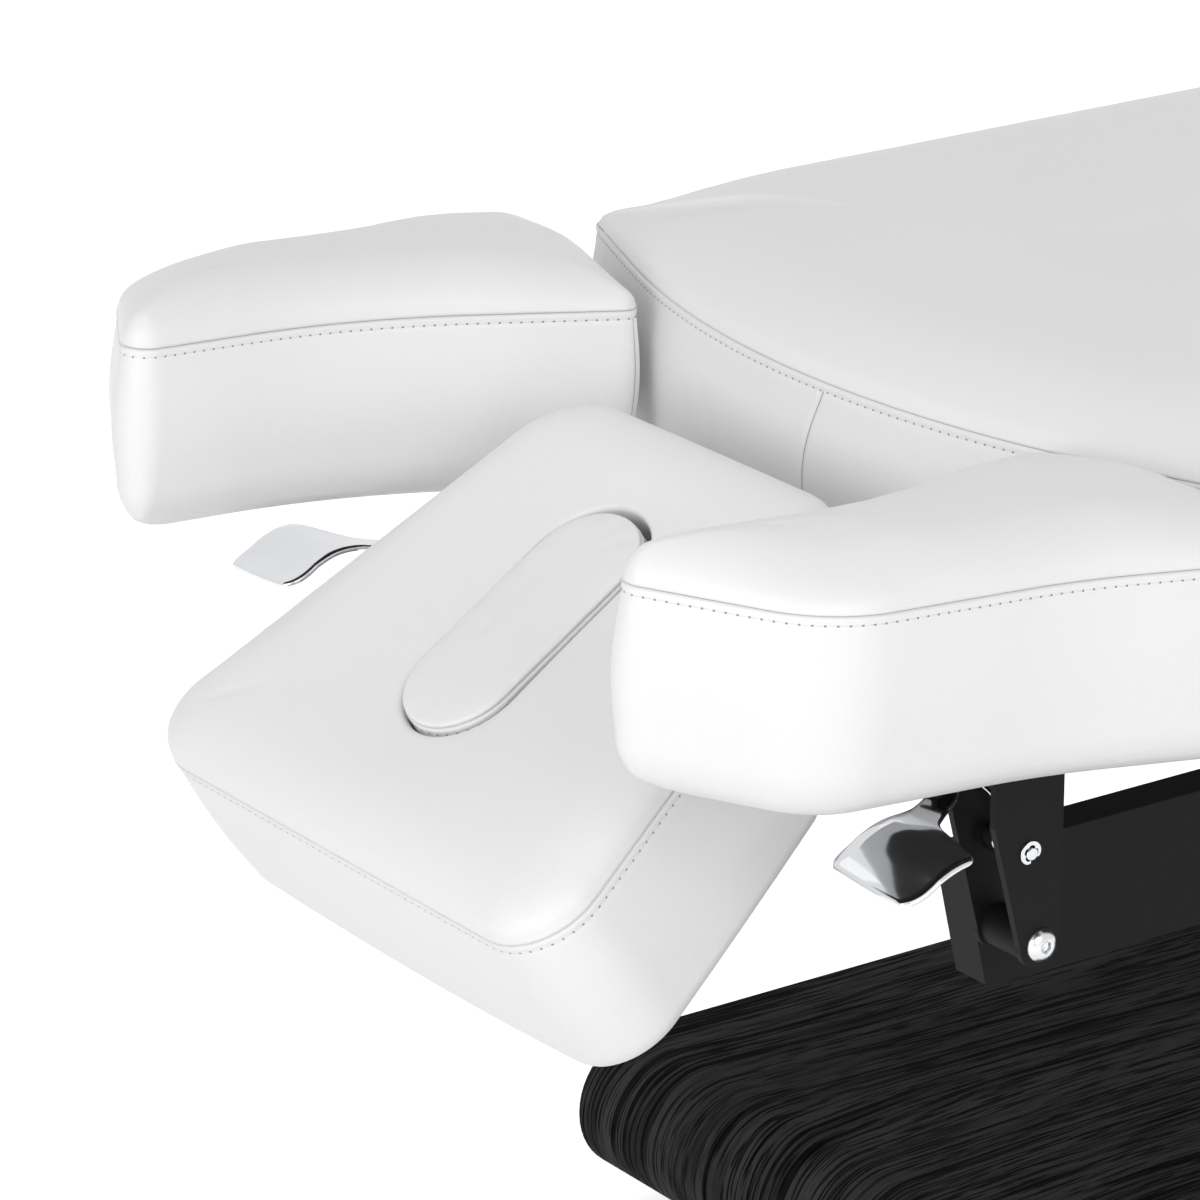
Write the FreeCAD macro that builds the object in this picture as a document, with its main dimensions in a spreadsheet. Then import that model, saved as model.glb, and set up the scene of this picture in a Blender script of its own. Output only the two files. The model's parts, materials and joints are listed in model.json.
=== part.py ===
"""Electric spa lounge: a wood-shelled base, a parallelogram lift, and a padded bed whose back, leg rest, headrest
and two armrests tilt. Millimetres, +Z up, +Y towards the feet, +X towards the sitter's right when lying face up."""

import FreeCAD, Part
import math
import os
import re

import Sketcher
from FreeCAD import Placement, Rotation, Vector

doc = FreeCAD.newDocument("spa_lounge")
sheet = doc.addObject("Spreadsheet::Sheet", "Sizes")

# Driving dimensions: alias, value, meaning
SIZES = [
    ("bed_half_wide", 349, "half width of the back, seat and leg pads"),
    ("seam_level", 662, "height of the pads' top seam"),
    ("boxing_tall", 128, "height of a bed pad's side wall"),
    ("crown_rise", 32, "rise of a bed pad's crown above its seam"),
    ("crown_inset", 80, "how far in from the seam the crown levels off"),
    ("side_bulge", 3, "swell of a pad's side wall"),
    ("draw_in", 14, "how far a pad's side draws in at its bottom edge"),
    ("back_apex_y", -610, "head end of the back pad on the centre line"),
    ("back_end_bow", 139, "how far the back pad's head end is bowed, at its tangents"),
    ("back_end_radius", 690, "radius of the back pad's bowed end"),
    ("pad_corner_radius", 38, "corner radius of the bed pads"),
    ("back_joint_y", 110, "plane between back and seat"),
    ("back_gap", 27, "gap between back pad and seat pad"),
    ("leg_joint_y", 535, "plane between seat and leg rest"),
    ("leg_gap", 12, "gap between seat pad and leg pad"),
    ("foot_end_y", 951.5, "foot end of the leg pad"),
    ("board_thick", 15, "plywood under the bed pads"),
    ("board_inset", 30, "how far a board's edge stays inside its pad"),
    ("spine_centre_x", 75, "centre of the spine tubes under the boards"),
    ("spine_wide", 30, "width of a spine tube"),
    ("spine_tall", 30, "height of a spine tube"),
    ("tube_wall", 2.5, "wall of the square tubes"),
    ("cross_tall", 30, "height of a cross tube"),
    ("cross_wide", 40, "width of a cross tube"),
    ("rail_inner_x", 150, "inner face of the side rails"),
    ("rail_wide", 28, "width of a side rail"),
    ("rail_tall", 88, "height of a side rail"),
    ("rail_wall", 4, "wall of a side rail"),
    ("upright_tall", 56, "height of the uprights between rail and cross tube"),
    ("back_rail_head_y", -630, "head end of the back rails"),
    ("back_rail_rake", 20, "rake of the back rails' head end"),
    ("back_rail_foot_y", 70, "foot end of the back rails"),
    ("back_cross_head_y", -370, "head-side cross tube of the back"),
    ("back_cross_foot_y", 20, "foot-side cross tube of the back"),
    ("seat_rail_head_y", 140, "head end of the seat rails"),
    ("seat_rail_foot_y", 495, "foot end of the seat rails"),
    ("seat_cross_head_y", 195, "head-side cross tube of the seat"),
    ("seat_cross_foot_y", 450, "foot-side cross tube of the seat"),
    ("hinge_strap_x", 247, "inner face of the seat's hinge straps"),
    ("strap_thick", 6, "thickness of the hinge straps"),
    ("strap_half", 9.5, "half width of a hinge strap, and its knuckle's radius"),
    ("strap_play", 1, "side play between two hinge straps"),
    ("back_hinge_drop", 12, "back hinge below the seam level"),
    ("leg_hinge_drop", 15, "leg hinge below the pads' underside"),
    ("hinge_pin_radius", 5, "radius of the hinge pins"),
    ("running_play", 0.05, "radial play of a pin in its bore"),
    ("leg_cross_head_y", 650, "head-side cross tube of the leg rest"),
    ("leg_cross_foot_y", 890, "foot-side cross tube of the leg rest"),
    ("leg_cross_tall", 25, "height of the leg rest's cross tubes"),
    ("base_half_wide", 280, "half width of the base"),
    ("base_top", 120, "top of the base shell"),
    ("base_thick", 98, "thickness of the base shell, ends included"),
    ("base_head_y", -583, "head end of the base"),
    ("base_foot_y", 480, "foot end of the base"),
    ("base_wall", 15, "wall of the bent base shell"),
    ("base_panel_thick", 14, "thickness of the base's side panels"),
    ("panel_play", 0.3, "gap round a side panel"),
    ("base_tube_centre_x", 120, "centre of the two tubes inside the base"),
    ("base_tube_wide", 50, "width of the tubes inside the base"),
    ("foot_radius", 28, "radius of a levelling foot"),
    ("foot_pad_tall", 12, "height of a levelling foot's pad"),
    ("foot_stem_radius", 7, "radius of a levelling foot's stem"),
    ("foot_inset_x", 70, "foot centre in from the base's side"),
    ("foot_inset_y", 110, "foot centre in from the base's ends"),
    ("lift_arm_long", 345, "pivot to pivot length of the lift arms"),
    ("lift_low_z", 170, "height of the lower lift pivots"),
    ("lift_high_z", 300, "height of the upper lift pivots"),
    ("lift_front_y", -110, "lower front lift pivot"),
    ("lift_rear_y", 110, "lower rear lift pivot"),
    ("lift_front_x", 120, "centre of the front lift bars"),
    ("lift_rear_x", 85, "centre of the rear lift bars"),
    ("lift_bar_thick", 12, "thickness of a lift bar"),
    ("lift_bar_tall", 50, "depth of a lift bar"),
    ("lift_pin_radius", 8, "radius of the lift pivots' pins"),
    ("lift_slot_play", 2, "side play of a lift bar in its clevis"),
    ("clevis_wide", 50, "width of a clevis across the bar"),
    ("clevis_long", 44, "length of a clevis along the bed"),
    ("clevis_over", 28, "clevis reach past its pivot"),
    ("lift_tie_radius", 20, "radius of the tube that ties a pair of lift bars"),
    ("front_tie_at", 80, "front tie tube from the lower pivot"),
    ("crank_along", 65, "crank rod of the rear lift arm, along the bar from the lower pivot"),
    ("crank_up", 62, "crank rod of the rear lift arm, above the bar's middle"),
    ("crank_half", 14, "half width of the crank's end"),
    ("crank_rod_radius", 7, "radius of the crank rod"),
    ("motor_y", 430, "lift motor's rear pin"),
    ("motor_z", 165, "height of that pin"),
    ("motor_tilt", 16.3, "lift motor's tilt towards the head, degrees"),
    ("motor_wide", 60, "width of the motor's gear case"),
    ("motor_case_start", 22, "gear case from the rear pin"),
    ("motor_lug_half", 13, "half width of the lugs that hold the motor's rear pin"),
    ("motor_case_long", 62, "length of the gear case"),
    ("motor_case_over", 16, "gear case above the drive's line"),
    ("motor_case_under", 44, "gear case below the drive's line"),
    ("motor_can_radius", 17, "radius of the motor's can"),
    ("motor_can_long", 105, "length of the motor's can"),
    ("drive_tube_radius", 15, "radius of the drive's outer tube"),
    ("drive_tube_end", 210, "end of the outer tube from the rear pin"),
    ("drive_rod_radius", 10, "radius of the drive's rod"),
    ("drive_rod_start", 112, "inner end of the rod from the rear pin"),
    ("drive_rod_reach", 296.5, "rod's eye from the rear pin"),
    ("drive_eye_radius", 21, "radius of the rod's eye"),
    ("drive_eye_bore", 13.5, "bore of the rod's eye, wide enough for the crank's arc"),
    ("motor_pin_radius", 6, "radius of the motor's rear pin"),
    ("control_half_wide", 55, "half width of the control box"),
    ("control_tall", 44, "height of the control box"),
    ("control_round", 6, "edge radius of the control box and the gear case"),
    ("lift_beam_tall", 40, "height of the beams that carry the upper pivots"),
    ("head_back_y", -676, "seam of the headrest at its back edge"),
    ("head_back_z", 625.2, "height of that seam"),
    ("head_tilt", 33.9, "headrest tilt, degrees below level"),
    ("head_long", 337, "headrest length"),
    ("head_half_head", 216, "headrest half width at its head edge"),
    ("head_half_back", 144, "headrest half width at its back edge"),
    ("head_boxing", 110, "headrest side wall"),
    ("head_back_boxing", 70, "headrest side wall at its back edge"),
    ("head_taper_start", 200, "where the headrest starts to thin, from the head edge"),
    ("head_crown", 23, "headrest crown"),
    ("head_crown_inset", 36, "headrest crown's inset"),
    ("head_corner_head", 44, "corner radius at the head edge"),
    ("head_corner_back", 60, "corner radius at the back edge"),
    ("face_slot_half", 43, "half width of the face slot"),
    ("face_slot_start", 86, "face slot's start from the head edge"),
    ("face_slot_end", 272, "face slot's end from the head edge"),
    ("plug_play", 1.2, "play of the face plug in its slot"),
    ("plug_crown", 10, "face plug's crown above the headrest's seam"),
    ("plug_edge_rise", 18, "face plug's top edge above the headrest's seam"),
    ("face_ledge", 9, "ledge of the headrest board under the plug"),
    ("head_board_thick", 12, "headrest board"),
    ("head_hinge_y", -628, "headrest hinge"),
    ("head_hinge_z", 548, "headrest hinge height"),
    ("head_hinge_x", 62, "inner face of the headrest's hinge lugs"),
    ("head_knuckle", 9, "radius of the headrest's hinge knuckles"),
    ("head_arm_tall", 12, "depth of the headrest's carrier arms"),
    ("head_arm_start", 140, "start of the carrier arms from the head edge"),
    ("arm_foot_y", -585, "armrest's foot corner, inner side"),
    ("arm_inner_foot", 186, "armrest inner edge at the foot"),
    ("arm_outer_foot", 405, "armrest outer edge at the foot"),
    ("arm_inner_tip", 243.5, "armrest inner edge at the tip"),
    ("arm_outer_tip", 367, "armrest outer edge at the tip"),
    ("arm_long", 359, "armrest length on its inner edge"),
    ("arm_tip_slant", 71, "how much shorter the armrest's outer edge is"),
    ("arm_foot_back", 14, "how far headward the armrest's inner foot corner lies"),
    ("arm_foot_ahead", 42, "how far footward the armrest's outer foot corner lies"),
    ("arm_inner_hollow", 34, "hollow of the armrest's inner side"),
    ("arm_outer_hollow", 16, "hollow of the armrest's outer side"),
    ("arm_hollow_radius", 400, "radius of the armrest's hollow sides"),
    ("arm_draw_in", 26, "how far the armrest's sides draw in at its bottom edge"),
    ("arm_seam_z", 654.5, "armrest seam height at its foot"),
    ("arm_pitch", 3.2, "armrest pitch, head end up, degrees"),
    ("arm_boxing", 122, "armrest side wall"),
    ("arm_crown", 25, "armrest crown"),
    ("arm_crown_share", 0.33, "armrest crown's inset as a share of its narrower end"),
    ("arm_corner_tip_in", 16, "armrest corner radius, inner tip"),
    ("arm_corner_tip_out", 70, "armrest corner radius, outer tip"),
    ("arm_corner_foot_out", 30, "armrest corner radius, outer foot"),
    ("arm_corner_foot_in", 12, "armrest corner radius, inner foot"),
    ("arm_board_thick", 12, "armrest board"),
    ("pivot_y", -609.5, "armrest pivot"),
    ("pivot_z", 374, "armrest pivot height"),
    ("pivot_bolt_radius", 6, "armrest pivot bolt"),
    ("bolt_head_radius", 10.5, "armrest pivot bolt's head"),
    ("bolt_head_tall", 6, "height of the bolt's head"),
    ("plate_outer_x", 227, "outer face of the armrest's outer plate"),
    ("plate_thick", 5, "thickness of the armrest's plates"),
    ("plate_inner_x", 182, "inner face of the armrest's inner plate"),
    ("plate_head_reach", 36, "armrest plate's reach headward of the pivot"),
    ("plate_foot_reach", 15, "armrest plate's reach footward of the pivot"),
    ("plate_neck_rise", 80, "where the plate's neck widens, above the pivot"),
    ("plate_end_radius", 15, "radius of the plate's lower end"),
    ("plate_flange_out", 60, "flange's reach outward of the plates, under the board"),
    ("plate_flange_thick", 4, "flange between the plates and the board"),
    ("spacer_radius", 13, "spacer tube between the armrest's plates"),
    ("lever_pin_y", -619, "lever pivot"),
    ("lever_pin_z", 434, "lever pivot height"),
    ("lever_pin_radius", 4, "lever pivot pin"),
    ("clip_radius", 7.5, "retaining clip on the lever pin"),
    ("clip_thick", 1.2, "thickness of the clip"),
    ("lever_thick", 4, "thickness of the pressed lever"),
    ("lever_tip_y", -798, "lever's free edge"),
    ("lever_tip_z", 489, "height of that edge"),
    ("lever_paddle_long", 50, "length of the lever's paddle"),
    ("lever_cup", 8, "depth of the paddle's cup"),
    ("lever_shank_z", 505, "height of the lever's shank"),
    ("lever_paddle_in", 277, "paddle's inner edge"),
    ("lever_paddle_out", 341, "paddle's outer edge"),
    ("lever_side_play", 4, "side play of the lever between the plates"),
    ("lever_hub_radius", 9, "radius of the lever's hub"),
]

for row, (alias, value, meaning) in enumerate(SIZES, start=1):
    sheet.set(f"A{row}", alias)
    sheet.set(f"B{row}", str(value))
    sheet.set(f"C{row}", meaning)
    sheet.setAlias(f"B{row}", alias)
doc.recompute()

# Levels and places that follow from the driving dimensions
DERIVED = {
    "pad_bottom": "seam_level - boxing_tall",
    "board_top": "pad_bottom + board_thick",
    "spine_bottom": "pad_bottom - spine_tall",
    "cross_bottom": "spine_bottom - cross_tall",
    "rail_top": "cross_bottom - upright_tall",
    "rail_bottom": "rail_top - rail_tall",
    "rail_outer_x": "rail_inner_x + rail_wide",
    "back_foot_y": "back_joint_y - back_gap / 2",
    "seat_head_y": "back_joint_y + back_gap / 2",
    "seat_foot_y": "leg_joint_y - leg_gap / 2",
    "leg_head_y": "leg_joint_y + leg_gap / 2",
    "back_hinge_z": "seam_level - back_hinge_drop",
    "leg_hinge_z": "pad_bottom - leg_hinge_drop",
    "moving_strap_x": "hinge_strap_x + strap_thick + strap_play",
    "leg_cross_bottom": "spine_bottom - leg_cross_tall",
    "base_bottom": "base_top - base_thick",
    "base_inner_top": "base_top - base_wall",
    "base_inner_bottom": "base_bottom + base_wall",
    "plate_inner_out": "plate_inner_x + plate_thick",
    "plate_outer_in": "plate_outer_x - plate_thick",
}
ALIASES = [alias for alias, _, _ in SIZES]
WORD = re.compile(r"[a-z_]+[a-z]")


def bound(text):
    """The expression with every derived name spelled out and every alias read from the sheet."""

    def spell(match):
        name = match.group(0)
        if name in DERIVED:
            return "(" + bound(DERIVED[name]) + ")"
        return f"Sizes.{name}" if name in ALIASES else name

    return WORD.sub(spell, str(text))


def size(name):
    """The number behind an alias or a derived name."""
    if name in ALIASES:
        return float(sheet.get(name))
    terms = re.findall(r"[-+]|[^-+ ]+", DERIVED[name])
    total, sign = 0.0, 1
    index = 0
    while index < len(terms):
        term = terms[index]
        if term in "+-":
            sign = 1 if term == "+" else -1
        else:
            number = size(term)
            if index + 2 < len(terms) and terms[index + 1] == "/":
                number /= float(terms[index + 2])
                index += 2
            total += sign * number
        index += 1
    return total


NODES = []


def node(label, shape_object):
    """Names a finished sub-part, which is written to its own file."""
    shape_object.Label = label
    NODES.append(shape_object)
    return shape_object


def box(x, y, z, side=1):
    """A block between bound limits, mirrored to the other side of the bed when side is -1."""
    solid = doc.addObject("Part::Box", "block")
    low_x, high_x = x
    start_x = low_x if side > 0 else f"-({high_x})"
    solid.setExpression("Length", bound(f"({high_x}) - ({low_x})"))
    solid.setExpression("Width", bound(f"({y[1]}) - ({y[0]})"))
    solid.setExpression("Height", bound(f"({z[1]}) - ({z[0]})"))
    solid.setExpression("Placement.Base.x", bound(start_x))
    solid.setExpression("Placement.Base.y", bound(y[0]))
    solid.setExpression("Placement.Base.z", bound(z[0]))
    return solid


def rod(x, y, z, radius, side=1):
    """A cylinder along X between bound limits."""
    solid = doc.addObject("Part::Cylinder", "rod")
    low_x, high_x = x
    solid.Placement = Placement(Vector(), Rotation(Vector(0, 1, 0), 90))
    solid.setExpression("Radius", bound(radius))
    solid.setExpression("Height", bound(f"({high_x}) - ({low_x})"))
    solid.setExpression("Placement.Base.x", bound(low_x if side > 0 else f"-({high_x})"))
    solid.setExpression("Placement.Base.y", bound(y))
    solid.setExpression("Placement.Base.z", bound(z))
    return solid


def post(x, y, z, radius):
    """A cylinder along Z between bound limits."""
    solid = doc.addObject("Part::Cylinder", "post")
    solid.setExpression("Radius", bound(radius))
    solid.setExpression("Height", bound(f"({z[1]}) - ({z[0]})"))
    solid.setExpression("Placement.Base.x", bound(x))
    solid.setExpression("Placement.Base.y", bound(y))
    solid.setExpression("Placement.Base.z", bound(z[0]))
    return solid


def cut(base, tool):
    result = doc.addObject("Part::Cut", "cut")
    result.Base, result.Tool = base, tool
    return result


def fuse(*solids):
    result = doc.addObject("Part::MultiFuse", "fuse")
    result.Shapes = list(solids)
    return result


def group(*solids):
    result = doc.addObject("Part::Compound", "group")
    result.Links = list(solids)
    return result


def tube(x, y, z, along, wall="tube_wall", side=1):
    """A square tube between bound limits, open at both ends of the axis named by along."""
    limits = {"x": x, "y": y, "z": z}
    bore = {
        axis: (f"({low}) + {wall}", f"({high}) - {wall}") if axis != along else (f"({low}) - 1", f"({high}) + 1")
        for axis, (low, high) in limits.items()
    }
    return cut(box(x, y, z, side), box(bore["x"], bore["y"], bore["z"], side))


def plate(x, outline, holes=(), side=1, rounds=()):
    """A flat plate square to X: its outline is (y, z) corners, its holes (y, z, radius), its rounds (corner, radius)."""
    body = doc.addObject("PartDesign::Body", "plate")
    sketch = body.newObject("Sketcher::SketchObject", "outline")
    plane = [origin for origin in body.Origin.OriginFeatures if origin.Role == "YZ_Plane"][0]
    sketch.AttachmentSupport = [(plane, "")]
    sketch.MapMode = "FlatFace"
    low_x, high_x = x
    sketch.setExpression("AttachmentOffset.Base.z", bound(low_x if side > 0 else f"-({high_x})"))
    count = len(outline)
    for corner in range(count):
        ahead = (corner + 1) % count
        sketch.addGeometry(Part.LineSegment(Vector(corner, corner * corner, 0), Vector(ahead, ahead * ahead, 0)))
    for corner in range(count):
        sketch.addConstraint(Sketcher.Constraint("Coincident", corner, 2, (corner + 1) % count, 1))
    for corner, (y, z) in enumerate(outline):
        pin_point(sketch, corner, 1, y, z)
    for hole, (y, z, radius) in enumerate(holes, start=count):
        sketch.addGeometry(Part.Circle(Vector(0, 0, 0), Vector(0, 0, 1), 1))
        pin_point(sketch, hole, 3, y, z)
        tie = sketch.addConstraint(Sketcher.Constraint("Radius", hole, 1))
        sketch.setExpression(f"Constraints[{tie}]", bound(radius))
    pad = body.newObject("PartDesign::Pad", "thickness")
    pad.Profile = sketch
    pad.setExpression("Length", bound(f"({high_x}) - ({low_x})"))
    doc.recompute()
    for corner, radius in rounds:
        y, z = (sketch.Geometry[corner].StartPoint.x, sketch.Geometry[corner].StartPoint.y)
        solid = body.Tip
        edges = [
            f"Edge{number}"
            for number, edge in enumerate(solid.Shape.Edges, start=1)
            if all(abs(v.Y - y) < 1e-4 and abs(v.Z - z) < 1e-4 for v in edge.Vertexes)
        ]
        rounding = body.newObject("PartDesign::Fillet", "round")
        rounding.Base = (solid, edges)
        rounding.setExpression("Radius", bound(radius))
        doc.recompute()
    return body


def pin_point(sketch, geometry, point, y, z):
    """Holds a sketch point at bound distances from the origin."""
    for kind, text in (("DistanceX", y), ("DistanceY", z)):
        tie = sketch.addConstraint(Sketcher.Constraint(kind, -1, 1, geometry, point, 1.0))
        sketch.setExpression(f"Constraints[{tie}]", bound(text))


# Outlines of the soft pads and the boards

def inset_corners(corners, inset):
    """The corners of a convex counterclockwise outline moved in by inset."""
    count = len(corners)
    lines = []
    for index in range(count):
        start, end = Vector(*corners[index]), Vector(*corners[(index + 1) % count])
        along = (end - start).normalize()
        inward = Vector(-along.y, along.x, 0)
        lines.append((start + inward * inset, along))
    moved = []
    for index in range(count):
        (before, step), (here, along) = lines[index - 1], lines[index]
        turn = step.x * along.y - step.y * along.x
        gap = here - before
        moved.append(before + step * ((gap.x * along.y - gap.y * along.x) / turn))
    return moved


LEAST_ROUND = 3


def outline(corners, radii, inset=0.0, level=0.0):
    """A closed wire of lines and tangent arcs, moved in by inset, at a height."""
    points = inset_corners(corners, inset)
    count = len(points)
    ends = []
    for index in range(count):
        corner = points[index]
        back = (points[index - 1] - corner).normalize()
        ahead = (points[(index + 1) % count] - corner).normalize()
        half = back.getAngle(ahead) / 2
        hollow = (ahead.x * back.y - ahead.y * back.x) < 0
        radius = max(radii[index] + (inset if hollow else -inset), LEAST_ROUND)
        reach = radius / math.tan(half)
        middle = corner + (back + ahead).normalize() * (radius / math.sin(half) - radius)
        ends.append((corner + back * reach, middle, corner + ahead * reach))
    lift = Vector(0, 0, level)
    edges = []
    for index in range(count):
        start, middle, end = ends[index]
        edges.append(Part.Arc(start + lift, middle + lift, end + lift).toShape())
        edges.append(Part.LineSegment(end + lift, ends[(index + 1) % count][0] + lift).toShape())
    return Part.Wire(edges)


def slab(corners, radii, low, high, inset=0.0):
    """A board: an outline with straight sides between two heights."""
    return Part.Face(outline(corners, radii, inset, low)).extrude(Vector(0, 0, high - low))


SEAM_TUCK = 2
CROWN_SHOULDER = 0.62
SHOULDER_INSET = 0.3


def cushion(corners, radii, low, seam, crown, crown_inset, draw_name="draw_in"):
    """A padded form: side walls that swell and draw in at the bottom, a sewn seam, and a crowned top."""
    bulge, draw = size("side_bulge"), size(draw_name)
    side_low = low + draw
    edge = [(low, draw), (low + draw / 3, draw / 3), (side_low, 0)]
    walls = [(side_low, 0), ((side_low + seam) / 2, -bulge), (seam, SEAM_TUCK)]
    dome = [
        (seam, SEAM_TUCK),
        (seam + crown * CROWN_SHOULDER, SEAM_TUCK + crown_inset * SHOULDER_INSET),
        (seam + crown, SEAM_TUCK + crown_inset),
    ]
    rounded, upright, crowned = [
        Part.makeLoft([outline(corners, radii, inset, level) for level, inset in stack], True, stack is edge)
        for stack in (edge, walls, dome)
    ]
    return upright.fuse([rounded, crowned])


def soft(label, shape, placement=None):
    """A sub-part whose shape is worked out here from the sheet's sizes."""
    piece = doc.addObject("Part::Feature", label)
    piece.Shape = shape
    if placement is not None:
        piece.Placement = placement
    return node(label, piece)


def bed_corners(head_y, foot_y):
    half = size("bed_half_wide")
    return [(-half, head_y), (half, head_y), (half, foot_y), (-half, foot_y)]


def back_corners():
    """The back's outline: straight sides and foot, and a head end bowed about a large radius."""
    half, bow = size("bed_half_wide"), size("back_end_bow")
    slope = math.atan2(bow, half)
    tip_y = size("back_apex_y") - size("back_end_radius") * (1 / math.cos(slope) - 1)
    return [(0, tip_y), (half, tip_y + bow), (half, size("back_foot_y")), (-half, size("back_foot_y")), (-half, tip_y + bow)]


def bed_section(prefix, corners, radii):
    """The pad of one bed section and the plywood board let into its underside, which its cover is stapled to."""
    low, seam = size("pad_bottom"), size("seam_level")
    board = slab(corners, radii, low, size("board_top"), size("board_inset"))
    pad = cushion(corners, radii, low, seam, size("crown_rise"), size("crown_inset"))
    soft(f"{prefix}_pad", pad.cut(board))
    soft(f"{prefix}_board", board)


corner = size("pad_corner_radius")
bed_section("back", back_corners(), [size("back_end_radius"), corner, corner, corner, corner])
bed_section("seat", bed_corners(size("seat_head_y"), size("seat_foot_y")), [corner] * 4)
bed_section("leg", bed_corners(size("leg_head_y"), size("foot_end_y")), [corner] * 4)

# Base: a bent wood shell round two steel tubes, closed by side panels, on four levelling feet

BASE_END_FLAT = 0.5


def base_profile(inset, low_x, high_x):
    """The base's rounded profile along the bed, as a solid across it."""
    low, high = size("base_bottom"), size("base_top")
    head, foot = size("base_head_y"), size("base_foot_y")
    corners = [(head, low), (foot, low), (foot, high), (head, high)]
    end_radius = size("base_thick") / 2 - BASE_END_FLAT
    flat = Part.Face(outline(corners, [end_radius] * 4, inset))
    solid = flat.extrude(Vector(0, 0, high_x - low_x))
    solid.Placement = Placement(Vector(low_x, 0, 0), Rotation(Vector(1, 1, 1), 120))
    return solid


half_wide, panel = size("base_half_wide"), size("base_panel_thick")
wall = size("base_wall")
shell = base_profile(0, -half_wide, half_wide).cut(base_profile(wall, -half_wide - 1, half_wide + 1))
soft("base_shell", shell)
panel_inset = wall + size("panel_play")
panels = [base_profile(panel_inset, start, start + panel) for start in (-half_wide, half_wide - panel)]
soft("base_side_panels", Part.makeCompound(panels))

base_tube_x = ("base_tube_centre_x - base_tube_wide / 2", "base_tube_centre_x + base_tube_wide / 2")
base_tube_y = ("base_head_y + base_thick / 2", "base_foot_y - base_thick / 2")
base_tube_z = ("base_inner_bottom", "base_inner_top")
base_tubes = [tube(base_tube_x, base_tube_y, base_tube_z, "y", side=side) for side in (1, -1)]
node("base_tubes", group(*base_tubes))

feet = []
for foot_x in ("base_half_wide - foot_inset_x", "foot_inset_x - base_half_wide"):
    for foot_y in ("base_head_y + foot_inset_y", "base_foot_y - foot_inset_y"):
        pad_of_foot = post(foot_x, foot_y, ("0", "foot_pad_tall"), "foot_radius")
        stem = post(foot_x, foot_y, ("foot_pad_tall", "base_bottom"), "foot_stem_radius")
        feet.append(fuse(pad_of_foot, stem))
node("levelling_feet", group(*feet))

# Parallelogram lift: two pairs of bars between clevises on the base and under the seat

lift_rise = size("lift_high_z") - size("lift_low_z")
lift_angle = math.degrees(math.asin(lift_rise / size("lift_arm_long")))
LIFT_REACH = "sqrt(lift_arm_long ^ 2 - (lift_high_z - lift_low_z) ^ 2)"
LIFTS = {
    "front": ("lift_front_x", "lift_front_y", ("front_tie_at", "0", "lift_tie_radius")),
    "rear": ("lift_rear_x", "lift_rear_y", ("crank_along", "crank_up", "crank_rod_radius")),
}
CRANK = [
    ("-lift_bar_tall / 2", "0"),
    ("crank_along + lift_bar_tall", "0"),
    ("crank_along + crank_half", "crank_up + crank_half"),
    ("crank_along - crank_half", "crank_up + crank_half"),
]


def clevis(bar_x, pivot_y, pivot_z, low, high, slot_low, slot_high, side):
    """A forked bracket round a lift bar, bored for its pin."""
    block_x = (f"{bar_x} - clevis_wide / 2", f"{bar_x} + clevis_wide / 2")
    block_y = (f"{pivot_y} - clevis_long / 2", f"{pivot_y} + clevis_long / 2")
    slot_x = (
        f"{bar_x} - lift_bar_thick / 2 - lift_slot_play",
        f"{bar_x} + lift_bar_thick / 2 + lift_slot_play",
    )
    slot_y = (f"{pivot_y} - clevis_long", f"{pivot_y} + clevis_long")
    fork = cut(box(block_x, block_y, (low, high), side), box(slot_x, slot_y, (slot_low, slot_high), side))
    return cut(fork, rod(block_x, pivot_y, pivot_z, "lift_pin_radius", side))


lower_forks, upper_forks, lower_pins, upper_pins, beams = [], [], [], [], []
for name, (bar_x, pivot_y, tie_spot) in LIFTS.items():
    high_y = f"{pivot_y} + {LIFT_REACH}"
    bars = []
    for side in (1, -1):
        pin_x = (f"{bar_x} - clevis_wide / 2", f"{bar_x} + clevis_wide / 2")
        low_top, floor = "lift_low_z + clevis_over", "lift_low_z - clevis_over"
        lower_forks.append(clevis(bar_x, pivot_y, "lift_low_z", "base_top", low_top, floor, low_top + " + 1", side))
        roof, low_end = "lift_high_z + clevis_over", "lift_high_z - clevis_over"
        upper_forks.append(clevis(bar_x, high_y, "lift_high_z", low_end, "rail_bottom", low_end + " - 1", roof, side))
        lower_pins.append(rod(pin_x, pivot_y, "lift_low_z", "lift_pin_radius", side))
        upper_pins.append(rod(pin_x, high_y, "lift_high_z", "lift_pin_radius", side))
        bar_limits = (f"{bar_x} - lift_bar_thick / 2", f"{bar_x} + lift_bar_thick / 2")
        straight = box(bar_limits, ("0", "lift_arm_long"), ("-lift_bar_tall / 2", "lift_bar_tall / 2"), side)
        ends = [rod(bar_limits, at, "0", "lift_bar_tall / 2", side) for at in ("0", "lift_arm_long")]
        bores = [rod(bar_limits, at, "0", "lift_pin_radius + running_play", side) for at in ("0", "lift_arm_long")]
        crank = [plate(bar_limits, CRANK, side=side)] if name == "rear" else []
        bars.append(cut(fuse(straight, *ends, *crank), fuse(*bores)))
    tie_half = f"{bar_x} - lift_bar_thick / 2"
    tie = rod((f"-({tie_half})", tie_half), *tie_spot)
    lean = Placement(Vector(0, size(pivot_y), size("lift_low_z")), Rotation(Vector(1, 0, 0), lift_angle))
    lift_arm = node(f"lift_{name}_arm", group(*bars, tie))
    lift_arm.Placement = lean
    beam_y = (f"{high_y} - clevis_long / 2", f"{high_y} + clevis_long / 2")
    beams.append(tube(("-rail_inner_x", "rail_inner_x"), beam_y, ("rail_bottom", "rail_bottom + lift_beam_tall"), "x"))
MOTOR_LUG_X = ("13", "19")
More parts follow.
